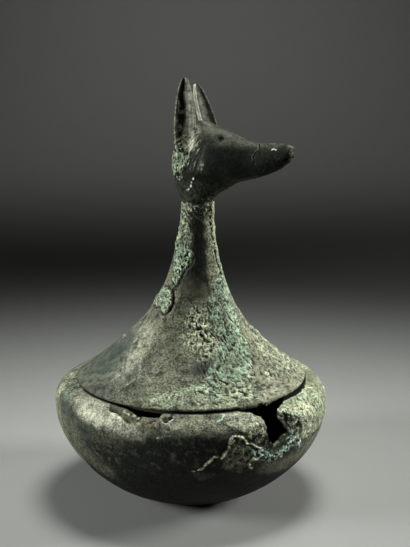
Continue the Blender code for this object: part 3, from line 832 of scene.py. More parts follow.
# the painted sheen on the left flank
SHEEN = spots(-56, 76, -53, 72.5, -50.4, 69.4, -49, 66.4, -48.6, 63.4, -49, 61)
SHEEN_TAIL = spots(-43, 66, -36, 65, -31.7, 62.4, -36, 59.2)
OLIVE = spots(-86, 79, -61.2, 83.4, -42.9, 82.8, -38.9, 78.2, -62, 75.9)
RIM_CREAM = spots(-17.5, 56.6, -12.8, 57.2, -7.2, 58.3, -1.3, 59.7, 5, 60.2, 11, 60, 18, 57.4)
RIM_GREEN = spots(-14, 55, -4, 56, 8, 57, 20, 56.6)
RIM_CHIP = spots(-21.6, 53, -20.8, 54.4, -17.7, 54.9, -15.7, 55.3, -14.4, 54.9, -11.5, 54.4, -11, 53)
WORMS = spots(0.4, 62.7, 5.1, 63.4, 8.7, 62.3, 13.9, 62.4)
SCRATCH = spots(-37.7, 58.6, -36.5, 59.8, -34.9, 60.9, -32.9, 61.8)
KNOBS = ((84.0, 75.0, 2.2), (88.0, 71.5, 2.6), (83.0, 68.0, 1.8), (-86.0, 71.0, 1.6))  # angle, height and size


def rim_height():
    return LID_LOW.z + bpy.context.scene.vase_lid.flange_depth / MM


def lid_outside():
    """From the top of the neck, down its flare, to the edge of the rim."""
    sizes, rim = bpy.context.scene.vase_lid, rim_height()
    edge = (LID_HIGH.x - LID_LOW.x) / 2, rim + sizes.rim_edge / MM
    return arc((sizes.neck_radius / MM, LID_HIGH.z), (10.5, rim + 33.3), (20.4, rim + 23.3), edge, 400)


def lid_skin():
    """The neck's solid end, down the outside to the rim, and up the hollow side past the flange."""
    sizes, rim, low = bpy.context.scene.vase_lid, rim_height(), LID_LOW.z
    wall, flange = sizes.wall / MM, sizes.flange_radius / MM
    flange_inside = flange - FLANGE_WALL
    outside = respaced(lid_outside(), LID_ROWS)
    inside = inset(lid_outside(), wall)
    meets, meets_inside = np.interp((flange, flange_inside), inside[:, 0], inside[:, 1])
    radius = outside[-1, 0]
    edge = [(radius, rim + 0.3), (radius - 0.15, rim), (radius - 0.8, rim), (radius - wall, rim)]
    under = inside[(inside[:, 0] > flange + 0.4) & (inside[:, 1] > rim)][::-6]
    flange_side = [(flange, z) for z in np.linspace(meets, low, FLANGE_ROWS)]
    flange_inner = [(flange_inside, low), (flange_inside, low + 2.0), (flange_inside, meets_inside)]
    hollow = inside[(inside[:, 0] < flange_inside - 0.5) & (inside[:, 1] < LID_HIGH.z - 12.0)]
    hollow = respaced(hollow, LID_ROWS_INSIDE)[::-1]
    top = [(hollow[-1, 0] * 0.6, hollow[-1, 1] + 2.2), (0.0, hollow[-1, 1] + 3.2)]
    cap = [(0.0, LID_HIGH.z), (3.5, LID_HIGH.z)]
    profile = np.concatenate([cap, outside, edge, under, flange_side, flange_inner, hollow, top])
    normals, row = outward(profile), np.arange(len(profile))
    end = len(cap) + len(outside)
    normals[len(cap):end] = outward(outside)
    skin = Skin(profile, normals, row < end + 2, angles_round(*LID_COLUMNS), outside)
    start = end + len(edge) + len(under)
    skin.flange = np.repeat((row >= start) & (row < start + len(flange_side)), skin.shape[1]).astype(float)
    return skin


def lid_relief(skin):
    """How far each point of the outside stands out from the turned form, and the masks of its colours."""
    grow, clear, stroke, region = skin.grow, skin.clear, skin.stroke, skin.region
    p, a, z = skin.points, skin.angle, skin.height
    fine, small, slow, broad = rough(p, 1.5, 2, 41), rough(p, 3, 3, 42), rough(p, 11, 3, 43), rough(p, 24, 2, 44)
    pits = smooth(0.3, 0.7, rough(p, 1.6, 2, 45)) * smooth(-0.3, 0.3, rough(p, 6, 2, 57))
    behind = smooth(92, 118, np.abs(a))
    by_rim = smooth(66, 59, z + 1.5 * small)
    rightward = smooth(8, 40, a)
    folds = rightward * bark(skin, 55, 62) + (1 - rightward) * bark(skin, 86, 60)
    folds = by_rim * bark(skin, 10, 64) + (1 - by_rim) * folds
    calm = smooth(-26, -44, a) * smooth(92, 84, z) * (1 - behind)
    grow(1, 0.12 * slow + (1 - 0.7 * calm) * (0.09 * small + 0.05 * fine + 0.06 * folds * (1 - behind)))
    grow(smooth(90, 80, z), beige=unit(0.45 + 0.8 * slow))

    # the crust of the lower right, wrinkled aslant
    wrinkled = smooth(-4, 18, a + 8 * slow) * smooth(96, 84, z) * (1 - behind)
    streaky = wrinkled * smooth(80, 72, z + 2 * small) * smooth(62, 50, a)
    crests = smooth(0.1, 1, folds + 0.5 * small) * (0.42 + 0.25 * streaky)
    grow(wrinkled, 0.22 * folds * unit(0.6 + 0.8 * slow) + 0.2 * small + 0.12 * fine, coarse=0.8,
         green=unit(0.5 + 0.8 * slow + 0.4 * small) * 0.85,
         cream=np.maximum(unit(0.05 + 0.8 * small + 0.7 * slow) * 0.6, crests),
         dark=smooth(-0.4, -1.3, folds - 0.6 * small) * 0.7,
         threaded=smooth(-0.1, 0.5, rough(p, 7, 2, 50)) * 0.5)
    grow(streaky, 0.12 * folds)
    grow(region(OLIVE_CLOUD, 3, 3), brown=unit(0.55 + 0.6 * small) * 0.8)

    # the neck: a crusted band on the left, a smooth dark strip, and a thinner crust on the right
    left, lobe = region(LEFT_BAND, 0.7, 1.8), region(LOBE, 0.22, 1.5)
    strip = region(DARK_STRIP, 1.2, 1.2)
    deep = stroke(LEFT_PITS, 1.6, 0.8) * smooth(0.1, 0.4, ripple(p, 1.7, 52))
    stringy = bark(skin, 80, 66)
    skin.rise *= 1 - 0.85 * strip
    grow(smooth(88, 98, z) * smooth(131, 124, z), -0.6)  # under the crust the neck has worn thin
    speckle = smooth(-0.25, 0.35, rough(p, 2.2, 2, 46))
    grow(left, 0.25 + 0.6 * small + 0.25 * fine + 0.22 * stringy - 0.7 * pits, green=unit(0.25 + 0.7 * speckle),
         cream=smooth(0, 1, stringy + fine) * 0.8, coarse=1, threaded=0.5,
         mint=smooth(-0.3, 0.3, small + 0.5 * slow) * smooth(119, 108, z),
         dark=smooth(-0.3, -1, stringy - 0.6 * small) * 0.95,
         verdigris=smooth(0, 0.5, rough(p, 4.5, 2, 47)) * 0.65)
    clear(lobe * 0.8, "cream")
    clear(lobe, "beige")
    grow(lobe, 0.65 + 0.5 * small + 0.4 * rough(p, 1.6, 2, 58), green=0.75 + 0.4 * small,
         mint=unit(0.1 + 0.4 * small), coarse=1)
    grow(stroke(CRACK, 0.85, 1.5, 0.7), -0.8 * (1 - lobe))
    grow(stroke(LOBE_ARC, 0.35, 0.4, 0.6), -0.4)
    grow(deep, -0.8)
    grow(unit(left * pits * 0.8 + deep), dark=1)
    grow(region(GREY_LEFT, 1.2, 1), beige=0.8, brown=0.5)
    striped = ripple(np.stack([a / 7, z / 14, 0 * a], axis=1), 1, 53)
    level = ripple(np.stack([a / 25, z / 1.3, 0 * a], axis=1), 1, 59) * smooth(112, 104, z)
    grow(strip, 0.02 * striped + 0.1 * level, bare=unit(0.88 + 0.1 * striped) * smooth(82, 100, z + 4 * small),
         brown=smooth(108, 92, z + 3 * small) * 0.55, beige=smooth(0.15, 0.5, level) * smooth(86, 94, z) * 0.4)
    neck = smooth(86, 96, z) * (1 - behind) * (1 - strip)
    outer = neck * smooth(50, 60, a + 5 * small)
    grow(neck * smooth(16, 30, a), 0.15 + 0.35 * small, brown=(1 - outer) * 0.5, beige=1, coarse=0.7,
         green=smooth(-0.1, 0.4, small) * 0.5)
    grow(outer, 0.15, cream=unit(0.5 + 0.9 * fine) * 0.9, green=0.7)
    grow(stroke(PIT_LINE, 0.8, 0.9) * smooth(-0.35, 0.1, fine), -0.6, dark=1)
    collar = smooth(122.5, 127, z + 1.6 * small)
    knots = collar * smooth(0, 0.35, rough(p, 2.6, 2, 54))
    grow(collar, 0.3 * small + 0.2 * fine, bare=(1 - knots) * smooth(-44, -30, a) * 0.9)
    grow(knots, 0.3, cream=0.5)

    # turquoise and mint growths that run down the right of the front
    run = np.maximum(stroke(TURQUOISE_RUN, 3.4, 2.2, 0.8), stroke(TURQUOISE_TOP, 3.4, 2.2, 0.8))
    mint = stroke(MINT, 3, 2, 0.9)
    between = region(TURQUOISE_RUN[:6] + MINT[:9][::-1], 2, 2)
    streaks = region(STREAKS, 1.5, 1.5)
    grow(run, 0.1 + 0.35 * small, verdigris=unit(0.42 + 0.7 * small + 0.3 * fine) * 0.9,
         mint=smooth(-0.4, 0.8, folds + small) * 0.85)
    clear(0.7 * np.maximum(run, mint), "cream", "green", "brown")
    grow(mint, 0.15 + 0.35 * small, mint=unit(0.76 + 0.5 * small), cream=smooth(0.2, 1, folds) * 0.6,
         verdigris=smooth(0.1, 0.5, rough(p, 5, 2, 55)) * 0.3)
    grow(between, green=unit(0.6 + 0.5 * small), mint=smooth(-0.1, 0.6, slow + 0.6 * small) * 0.75,
         dark=smooth(-0.3, -1, folds - 0.4 * small) * 0.8)
    grow(streaks * 0.7 + 0.8 * stroke(DARK_STREAK, 1.6, 1.4, 0.9), blue=1)
    grow(unit(streaks + run * 0.6 + (mint + between) * 0.3), threaded=1)
    for slit in SLITS:
        grow(stroke(slit, 0.4, 0.9) * smooth(-0.5, 0.1, small), -0.5, dark=0.9)

    # a beige band, and pale pitted earth past it
    band, olive_right = region(BEIGE_BAND, 2.2, 2.6), region(OLIVE_RIGHT, 2, 2)
    pale_pits = smooth(0.3, 0.7, rough(p, 1.7, 2, 56))
    clear(band * 0.9, "green", "cream", "threaded", "dark")
    grow(band, beige=1, brown=unit(0.5 + 0.8 * slow) * 0.6)
    grow(region(CREAM_RIGHT, 2, 2), 0.12 + 0.3 * small - 0.5 * pale_pits, beige=1, dark=pale_pits * 0.6,
         cream=unit(0.25 + 0.7 * small + 0.6 * slow) * 0.8)
    clear(olive_right * 0.75, "green", "cream", "threaded", "dark")
    grow(olive_right, beige=1, brown=smooth(-0.1, 0.4, slow) * 0.4)

    # pale lumps full of dark pits in the middle, and the dark spot below them
    lumpy_pits, lumpy = smooth(0.25, 0.6, rough(p, 1.8, 2, 48)), bark(skin, 70, 68)
    grow(region(PALE_LUMPS, 5, 4), 0.24 + 0.55 * small - 0.35 * lumpy_pits + 0.32 * lumpy, green=0.6, coarse=1,
         cream=unit(0.55 + 0.8 * small + 0.4 * lumpy),
         dark=np.maximum(lumpy_pits * 0.45, 0.7 * smooth(-0.4, -1.3, lumpy)))
    for pit in BIG_PITS:
        grow(skin.patch(*pit, 0.9), -0.35, dark=0.65)
    spot = skin.patch(7.2, 65.9, 5.2, 3.3, 1, 0.6)
    grow(spot, -0.15, blue=1)
    clear(spot * 0.95, "cream", "green", "verdigris", "beige", "threaded")
    grow(stroke(WORMS, 1.4, 0.8), threaded=1)

    # the smooth left flank, a painted sheen beside it, and olive earth under the lobe
    flank = region(BLUE_FLANK, 5, 3.5)
    sheen = np.maximum(stroke(SHEEN, 4.6, 1, 0.98), 0.3 * stroke(SHEEN_TAIL, 2.6, 1.8, 0.95)) * smooth(56, 65, z)
    low_left = smooth(-20, -36, a) * smooth(70, 62, z + 3 * slow) * (1 - behind)
    clear(flank, "beige")
    clear(low_left * 0.6, "beige")
    grow(flank, blue=unit(0.8 + 0.5 * small))
    grow(low_left, blue=0.5)
    # a painted sheen: the pale coat laid along it
    grow(sheen, pale=unit(0.6 + 0.4 * small + fine) * 0.65)
    clear(flank * 0.4, "pale")
    grow(region(OLIVE, 2, 2), brown=0.5)
    grow(stroke(SCRATCH, 0.5, 0.7), 0.2, cream=0.35)

    # along the rim
    chip = region(RIM_CHIP, 0.2, 0.5)
    grow(stroke(RIM_CREAM, 2.2, 1.6, 0.95), 0.1 + 0.3 * small, cream=unit(0.3 + 0.9 * small) * 0.9, green=0.8)
    grow(stroke(RIM_GREEN, 2, 1.6, 0.9), green=unit(0.5 + small))
    grow(chip, -0.45, brown=0.8)
    clear(chip, "cream")
    for angle, height, half_width in KNOBS:
        grow(skin.patch(angle, height, half_width, half_width, 1.8, 0.7), 0.7 + 0.6 * small, cream=0.3)

    # behind: patches of the same growths
    grow(behind, 0.15 * small + 0.25 * smooth(0, 0.45, slow), green=smooth(-0.1, 0.45, slow) * 0.8,
         cream=smooth(0.15, 0.6, small + 0.5 * broad) * 0.7, brown=smooth(0.1, 0.5, -broad) * 0.9,
         verdigris=smooth(0.25, 0.6, rough(p, 9, 3, 51)) * 0.6, coarse=smooth(0, 0.4, slow))

    even = (1 - 0.7 * flank) * (1 - strip) * (1 - spot) * (1 - 0.6 * smooth(-34, -48, a) * smooth(90, 84, z))
    grow(even, -0.25 * pits * (1 - left))
    grow(even * (1 - 0.5 * band) * (1 - 0.45 * streaky) * (1 - 0.5 * olive_right), pitted=unit(0.75 + 0.5 * slow))
    return skin.rise * (0.25 + 0.75 * smooth(0, 5, LID_HIGH.z - z) * smooth(0, 4, z - 53.6))


def make_lid():
    skin, rim = lid_skin(), rim_height()
    angle, height = skin.angle, skin.height
    above = np.maximum(0.0, height - rim)
    free = np.minimum(1.0, (LID_HIGH.z - height) / 30.0) * np.minimum(1.0, above / 6.0)
    rise = lid_relief(skin) * bpy.context.scene.vase_lid.relief * skin.outer
    lumpy = unit(rough(skin.points, 2.6, 3, 61) + 0.1) * skin.flange
    near_gap = smooth(12.0, 22.0, angle) * smooth(62.0, 50.0, angle)
    shift = hammered(skin.points) * 0.7 * free + 1.3 * lumpy * near_gap
    points = skin.points + skin.flat * shift[:, None] + skin.normals * rise[:, None]
    # crumbs of crust hang from the rim where the mouth below it is broken
    past_flange = smooth(0.2, 1.2, skin.radius - bpy.context.scene.vase_lid.flange_radius / MM)
    hanging = smooth(17.0, 23.0, angle) * smooth(48.0, 40.0, angle) * smooth(rim + 0.7, rim + 0.2, height)
    hanging = hanging * past_flange
    crumbs = rough(skin.points, 2.0, 3, 69)
    points[:, 2] -= hanging * np.clip(0.8 + 2.0 * crumbs, 0.0, 1.9)
    points[:, 0] += LEAN * above
    skin.keep_height(rise)
    masks = skin.masks
    masks["inside"] = (1.0 - skin.outer) * (1.0 - hanging)
    masks["dark"] = np.maximum(masks["dark"], hanging * unit(0.8 - 1.2 * crumbs))
    masks["cream"] = np.maximum(masks["cream"], lumpy * near_gap)
    return smoothed(skin.piece("crusted_lid", points, patina("lid_patina")), 60)


# ------------------------------ the head

# Where the head's rings pass, from neck to nose: throat (forward, up), crown (forward, up), half-width
HEAD_STATIONS = (
    (7.2, 0, -7.4, 0, 7.3),
    (8.9, 2.4, -9.8, 8, 9.2),
    (11.4, 4.3, -11, 17, 10.6),
    (14.4, 6.1, -7.6, 28, 10.8),
    (17.4, 7.6, 0.8, 34.2, 10.4),
    (20.6, 9.1, 9.5, 32.1, 9.4),
    (25.5, 10.5, 20.5, 28.2, 7.3),
    (31, 12, 28.5, 26, 5.5),
    (39, 15.5, 39, 26.5, 4.2),
    (43.4, 18.6, 44.4, 25.7, 3),
    (44.9, 20.4, 45.3, 23.6, 1.6),
)
RING_STEPS = 72
# Ears: the middle of the hollow's mouth at its foot and at the tip (forward, to the left, up), half the
# mouth's width, and which way it faces, in degrees to the left
NEAR_EAR = ((0.5, -11.4, 21.6), (-3, -5.6, 52.5), 4.4, -54)
FAR_EAR = ((3.6, 8, 26), (-3.6, 5, 49.6), 5.2, -5)
EAR_HOLLOW = 0.5
EAR_WALL = 1
EAR_ROLL = 0.2  # how much thicker its rim is
NEAR_MOUND = ((-2, -6.4, 26), (3.8, 2.4, 6))  # what carries each ear: its middle and its reach
FAR_MOUND = ((1, 6.4, 27.5), (4.2, 3, 6))

# Lines over the head: forward, to the left, up
BROW = ((10.4, 8.4, 30.2), (13, 8, 31), (16.4, 7, 30.2), (19.5, 6.2, 27.8))
CREASE = ((12, 6.5, 32.4), (9.8, 8.2, 29.4), (8.4, 9.4, 25.4), (7.6, 10, 22))
MOUTH = ((33, 5.4, 16.9), (36.5, 4.7, 17.6), (40, 3.9, 18.8), (43.2, 2.6, 20), (45.4, 0, 20.6))
NOTCH = ((42.9, 2.7, 19.7), (45, 0, 20.2))
SEAM = (
    (30.4, 0, 26.2), (30.2, 1.6, 25.8), (31, 2.6, 24.8), (31.7, 3.4, 23.7), (30.4, 4.3, 22.7),
    (29.6, 5, 20.5), (30.4, 5.4, 18.4), (29.8, 5.2, 16.5),
)
# painted glints: on the seam's edge, on the vein, and along the chip by the jaw
SEAM_GLINT = ((31, -2.6, 24.8), (31.9, -3.4, 23.7), (31.4, -4.2, 22.6))
VEIN_GLINT = ((37, -3.3, 23.7), (37.8, -3.3, 24.4), (38.8, -3.4, 24.1), (39.2, -3.4, 23.7), (39.9, -3.5, 22.9))
JAW_CHIP = (
    (4.6, -10.9, 11), (4.1, -10.8, 10.2), (3.2, -10.7, 9.2), (3.1, -10.5, 8.4), (2.6, -10.3, 7.2),
    (1.2, -9.7, 5.8),
)
# lines of painted light: the far ear's rim down on to the crown, between the ears where it is dimmed, and a streak
# down the near ear
FAR_RIM = (
    (-2.6, 2, 46), (-1.5, 1.6, 41.4), (-0.4, 1.3, 36.9), (1.2, 0.4, 34.9), (2.6, -0.8, 34),
    (4.7, -2.4, 33.4), (6.8, -2.2, 32.8),
)
BETWEEN_EARS = ((2, -4.2, 32.9), (3.1, -6.2, 31.4))
EAR_PAINTED_STREAK = ((-2.6, -6.1, 46), (-1.5, -6.1, 42.6), (-0.4, -6.2, 39.4))


def head_rings(between_rings=8):
    """The stations and a smooth run of rings between them."""
    rows = np.array(HEAD_STATIONS)
    padded = np.concatenate([rows[:1], rows, rows[-1:]])
    rings = []
    for before, start, end, after in zip(padded, padded[1:], padded[2:], padded[3:]):
        slope, next_slope = (end - before) / 2, (after - start) / 2
        cubic = 2 * (start - end) + slope + next_slope
        square = 3 * (end - start) - 2 * slope - next_slope
        rings += [((cubic * t + square) * t + slope) * t + start for t in np.arange(between_rings) / between_rings]
    return [*rings, rows[-1]]


def head_form():
    """The head without its ears, as points and faces."""
    turn = np.linspace(0, 2 * math.pi, RING_STEPS, endpoint=False)
    corners = []
    for throat_x, throat_z, crown_x, crown_z, half_width in head_rings():
        low, high = np.array([throat_x, 0, throat_z]), np.array([crown_x, 0, crown_z])
        ring = (low + high) / 2 + (high - low) / 2 * np.cos(turn)[:, None]
        ring[:, 1] += half_width * np.sin(turn) * (1 - 0.1 * np.cos(turn))
        corners.append(ring)
    return np.concatenate(corners), tube_faces(len(corners), RING_STEPS)


def mound(middle, reach, rings=15, steps=24):
    """An egg of metal, as points and faces."""
    down = np.repeat(math.pi * np.arange(1, rings + 1) / (rings + 1), steps)
    turn = np.tile(2 * math.pi * np.arange(steps) / steps, rings)
    corners = np.stack([np.sin(down) * np.cos(turn), np.sin(down) * np.sin(turn), np.cos(down)], axis=1)
    return corners * reach + middle, tube_faces(rings, steps)


def ear_frame(root, tip, opening):
    """An ear's root, its length, and the ways up it, out of its mouth and across it."""
    root, tip = np.array(root), np.array(tip)
    length = np.linalg.norm(tip - root)
    up = (tip - root) / length
    facing = facing_of(opening)
    facing -= up * facing.dot(up)
    facing /= np.linalg.norm(facing)
    return root, length, up, facing, np.cross(up, facing)


def facing_of(opening):
    """The level way in which an ear's mouth faces."""
    return np.array([math.cos(math.radians(opening)), math.sin(math.radians(opening)), 0])


def ear_width(share, half_width):
    """Half an ear's width at this share of the way up it."""
    swelling = share**0.6
    return half_width * (4 * swelling * (1 - swelling)) ** 0.5


def ear_form(root, tip, half_width, opening, rows=70, columns=36):
    """A cupped leaf from root to tip, as the points and faces of a thick closed sheet."""
    root, length, up, facing, across = ear_frame(root, tip, opening)
    share = (0.01 + 0.98 * np.arange(rows + 1) / rows)[:, None, None]
    s = (2 * np.arange(columns + 1) / columns - 1)[None, :, None]
    width, bend = ear_width(share, half_width), np.arctan(2 * EAR_HOLLOW * s)
    out = (facing * np.cos(bend) - across * np.sin(bend)) * EAR_WALL * (1 + EAR_ROLL * np.abs(s) ** 5)
    middle = root + up * length * share + across * width * s + facing * EAR_HOLLOW * width * (s * s - 1)
    corners = np.concatenate([(middle + out * side).reshape(-1, 3) for side in (0.5, -0.5)])
    wide, count = columns + 1, (rows + 1) * (columns + 1)
    faces = []
    for i, j in itertools.product(range(rows), range(columns)):
        quad = (i * wide + j, i * wide + j + 1, (i + 1) * wide + j + 1, (i + 1) * wide + j)
        faces += [quad, tuple(k + count for k in reversed(quad))]
    index = np.arange(count).reshape(rows + 1, wide)
    border = [*index[0], *index[1:, -1], *index[-1, -2::-1], *index[-2:0:-1, 0]]
    faces += [(m, k, k + count, m + count) for k, m in zip(border, border[1:] + border[:1])]
    return corners, faces


def on_ear(points, root, tip, half_width, opening):
    """For each point: its share of the way up an ear, how far across it lies, and how far out of its mouth."""
    root, length, up, facing, across = ear_frame(root, tip, opening)
    away = points - root
    share = away @ up / length
    return share, away @ across / ear_width(np.clip(share, 0.001, 0.999), half_width), away @ facing


def line_gap(points, line):
    """Distance of each point from a line through space."""
    best = np.full(len(points), 1e9)
    for start, end in itertools.pairwise(np.array(line, float)):
        along = end - start
        share = unit((points - start) @ along / (along @ along))
        best = np.minimum(best, np.linalg.norm(points - start - share[:, None] * along, axis=1))
    return best


def make_head():
    sizes = bpy.context.scene.vase_head
    corners, faces, count = [], [], 0
    for points, polygons in (
        head_form(), ear_form(*NEAR_EAR), ear_form(*FAR_EAR), mound(*NEAR_MOUND), mound(*FAR_MOUND)
    ):
        corners.append(points)
        faces += [tuple(int(k) + count for k in polygon) for polygon in polygons]
        count += len(points)
    piece = meshed("bronze_head", np.concatenate(corners) * MM, faces)
    outward_again(piece)
    remesh = piece.modifiers.new("one_skin", "REMESH")
    remesh.mode = "VOXEL"
    remesh.voxel_size = sizes.grain
    ease = piece.modifiers.new("ease", "SMOOTH")
    ease.factor = 0.5
    ease.iterations = 3
    mesh = settled(piece)
    model_head(mesh, sizes.relief)
    place = Vector((LEAN * (LID_HIGH.z - rim_height()), 0, HEAD_LOW.z)) * MM
    mesh.transform(Matrix.Translation(place) @ Matrix.Rotation(-sizes.turn, 4, "Z"))
    mesh.materials.append(head_bronze("head_bronze"))
    return smoothed(piece)


def model_head(mesh, strength):
    """The face, the ears' hollows and the wear, worked into the plain head along its surface."""
    p, n = rows_of(mesh, "co") / MM, rows_of(mesh, "normal")
    x, y, z = p.T
    side = np.abs(y)
    mirrored = np.stack([x, side, z], axis=1)
    fine, small, slow = rough(p, 1.3, 2, 71), rough(p, 3, 3, 72), rough(p, 8, 2, 73)
    rise = 0.1 * slow + 0.03 * small

    # the eye: a small deep hollow in a shallow one, with a worn brow over it
    ex, ez = (x - 14.7) + 0.5 * ripple(p, 1.6, 81), z - 27.4 + 0.3 * ripple(p, 1.3, 80)
    cheek = smooth(3, 5, side)
    socket = smooth(1.2, 0.4, np.hypot(ex / 3.4, ez / 2.8)) * cheek
    eye = smooth(1.2, 0.3, np.hypot(ex / 1.3, (ez + 0.1 * ex) / 1.5)) * cheek
    brow = smooth(1.8, 0.3, line_gap(mirrored, BROW))
    rise += brow * 0.25 - socket * 0.3 - eye * 0.6 - smooth(1.6, 0.2, line_gap(mirrored, CREASE)) * 0.25

    # the mouth, deepest at the lips
    mouth_gap = line_gap(mirrored, MOUTH) + 0.15 * small
    mouth = smooth(0.55, 0.1, mouth_gap) * smooth(36, 44, x)
    notch = smooth(1.2, 0.3, line_gap(mirrored, NOTCH))
    lips = smooth(1.5, 0.5, mouth_gap) * (1 - mouth) * smooth(38, 43, x)
    rise += lips * 0.2 - mouth * 0.45 - notch * 0.7

    # the seam across the muzzle; past it the skin is rougher
    seam_gap = line_gap(mirrored, SEAM) + 0.15 * ripple(p, 2.2, 82)
    seam = smooth(0.6, 0.05, seam_gap) * smooth(16, 19, z)
    seam_x = np.interp(z, *np.array(SEAM)[::-1, (2, 0)].T)
    lip_of_seam = smooth(1.1, 0.4, seam_gap) * smooth(0, -0.4, x - seam_x) * smooth(18, 22, z)
    muzzle = smooth(30, 31.4, x + 0.4 * ripple(p, 2.2, 86))
    rise += lip_of_seam * 0.15 - seam * 0.2 + muzzle * (0.22 * small + 0.16 * fine - 0.1)
    # painted glints in white on the raised vein and the seam's edge
    vein_glint = smooth(0.45, 0.1, line_gap(p, VEIN_GLINT)) * smooth(-0.5, 0.1, ripple(p, 1.1, 92))
    seam_glint = smooth(0.4, 0.1, line_gap(p, SEAM_GLINT))
    pad = smooth(43.8, 44.6, x + 0.2 * (z - 23)) * smooth(21, 23, z)
    nostril = smooth(0.9, 0.3, np.linalg.norm(mirrored - (44.4, 1.7, 22.8), axis=1))
    rise += vein_glint * 0.3 + seam_glint * 0.15 - nostril * 0.35

    # the fur behind the cheek, in strands that run down to the nape
    bent = 1.6 * np.sin((z - 12) / 5)
    streams = np.stack([(x * 0.86 - z * 0.5 + bent) / 1.3, (x * 0.5 + z * 0.86) / 8, y / 9], axis=1)
    strands = ripple(streams, 1, 83) + 0.5 * ripple(streams, 0.5, 87) + 0.5 * small
    fur = smooth(9.6, 5.5, x + 0.25 * (z - 22)) * smooth(12, 17, z) * smooth(33, 29, z)
    fur = fur * smooth(5, 8, side)
    rise += fur * 0.38 * strands

    # rough crust on the nape, and lumps of it where the head meets the neck
    nape = smooth(3.8, -2.2, x + 2.4 * slow - 0.16 * (z - 17) + 2 * small)
    nape = nape * smooth(25.8, 22, z + 2.5 * small) * smooth(6, 13, z + 2.5 * small)
    holes = nape * smooth(0.1, 0.45, rough(p, 1.5, 2, 84))
    foot = smooth(11.5, 7, z + 2 * small)
    rise += nape * (0.45 + 0.35 * small + 0.25 * fine) - holes * 0.7 + foot * (0.4 * small + 0.35 * fine)
    # a raised chip by the jaw, whose white is a painted glint
    chip = smooth(0.55, 0.15, line_gap(p, JAW_CHIP) + 0.4 * ripple(p, 1.3, 85))
    rise += chip * 0.45

    # the ears: worn rims, and painted light on one side of each hollow
    painted_lit, rims, hollow = np.zeros((3, len(p)))
    for ear, rim_width, brightness in ((NEAR_EAR, 0.1, 1), (FAR_EAR, 0.18, 0.25)):
        share, across, out = on_ear(p, *ear)
        here = smooth(-0.02, 0.02, share) * smooth(1.03, 1, share) * smooth(1.6, 1.3, np.abs(across))
        here = here * smooth(-3.6, -2.8, out) * smooth(1.8, 1.2, out)
        edge = smooth(1 - 1.4 * rim_width, 1 - 0.4 * rim_width, np.abs(across)) * smooth(-1.6, -0.6, out)
        rims = np.maximum(rims, here * edge)
        inner = here * (1 - edge) * smooth(0, 0.4, n @ facing_of(ear[3]))
        middle = -0.08 + 0.16 * ripple(p, 5, 88) - 0.25 * smooth(0.3, 0.1, share)
        hollow = np.maximum(hollow, inner * (1 - brightness * smooth(middle - 0.15, middle + 0.15, across)))
        ridge = np.exp(-(((across - middle - 0.28) / 0.18) ** 2)) * inner * smooth(0.98, 0.85, share)
        rise += (ridge * smooth(0.2, 0.4, share) * 0.35 + 0.3 * painted_lit * small) * brightness
        shaded = 1 - 0.6 * smooth(0.5, 0.62, across) * smooth(0.86, 0.78, across) * smooth(0.15, 0.3, share)
        painted_lit = np.maximum(painted_lit, brightness * inner * smooth(middle - 0.1, middle + 0.25, across) * shaded)
        if ear is FAR_EAR:  # its near rim is broad, and curves down on to the crown
            # its near rim and a line down on to the crown are painted light
            near_rim = here * smooth(-0.56, -0.7, across) * smooth(0.16, 0.24, share)
            on_crown = smooth(1.2, 0.4, line_gap(p, FAR_RIM) + 0.3 * small) * (1 - 0.6 * smooth(0.5, 4, x))
            painted_lit = np.maximum(painted_lit, np.maximum(near_rim * 0.8, on_crown * 0.5))
            rise += np.maximum(near_rim, on_crown) * 0.12
        painted_lit = np.maximum(painted_lit, brightness * inner * smooth(0.15, 0.6, small + 0.4 * fine) * 0.35)
    # less painted light between the ears, and a painted highlight streak down the near ear
    painted_lit *= 0.35 + 0.65 * smooth(1, 2.2, line_gap(p, BETWEEN_EARS))
    painted_streak = smooth(1.3, 0.5, line_gap(p, EAR_PAINTED_STREAK)) * smooth(-0.35, 0.15, ripple(p, 2.2, 90))
    rise += (painted_lit + rims + hollow) * 0.08 * small

    # painted light from above: upward-facing skin high on the head is painted with the grey film
    painted_top_light = smooth(0.25, 0.85, n[:, 2]) * smooth(22.5, 25.5, z) * (1 - rims) * (1 - painted_lit) * (1 - hollow)
    moved = p + n * (rise * strength * smooth(0, 1.2, z))[:, None]
    mesh.vertices.foreach_set("co", (moved * MM).ravel())
    mesh.update()
    turquoise = nape * smooth(0.35, 0.6, rough(p, 5, 2, 76)) * 0.5
    masks = {
        "green": nape * (0.45 + 0.8 * small) + fur * smooth(0, 0.6, strands) * 0.75,
        "cream": nape * smooth(-0.1, 0.5, fine + 0.5 * small) * 0.6,
        "verdigris": turquoise + foot * smooth(0.2, 0.5, small) * 0.35,
        "dark": mouth * 0.8 + notch * 0.6 + eye * 0.8 + nostril + seam * 0.9 + holes * 0.9,
        "coarse": unit(nape + foot) + 0.6 * muzzle,
        "worn": rims * 0.8 + brow * 0.12 + pad * 0.25 + lip_of_seam * 0.4,
        # pale: the painted light in the ears' hollows
        "pale": painted_lit * (0.9 + 0.6 * small + 0.3 * fine),
        # earthy: painted top light on upward-facing skin, and paler along the fur strands and on the foot
        "earthy": painted_top_light * 0.38 + fur * (0.1 + 0.5 * smooth(-0.1, 0.5, strands)) + 0.2 * foot,
        # white: painted glints, and a painted highlight streak on the near ear
        "white": chip * smooth(-0.5, 0, ripple(p, 0.9, 89)) + vein_glint * 0.8 + seam_glint * 0.15 + 0.45 * painted_streak,
    }
    store(mesh, {name: unit(value) for name, value in masks.items()})


# ------------------------------ materials


def shade(name):
    return (*getattr(bpy.context.scene.vase_colours, name), 1.0)


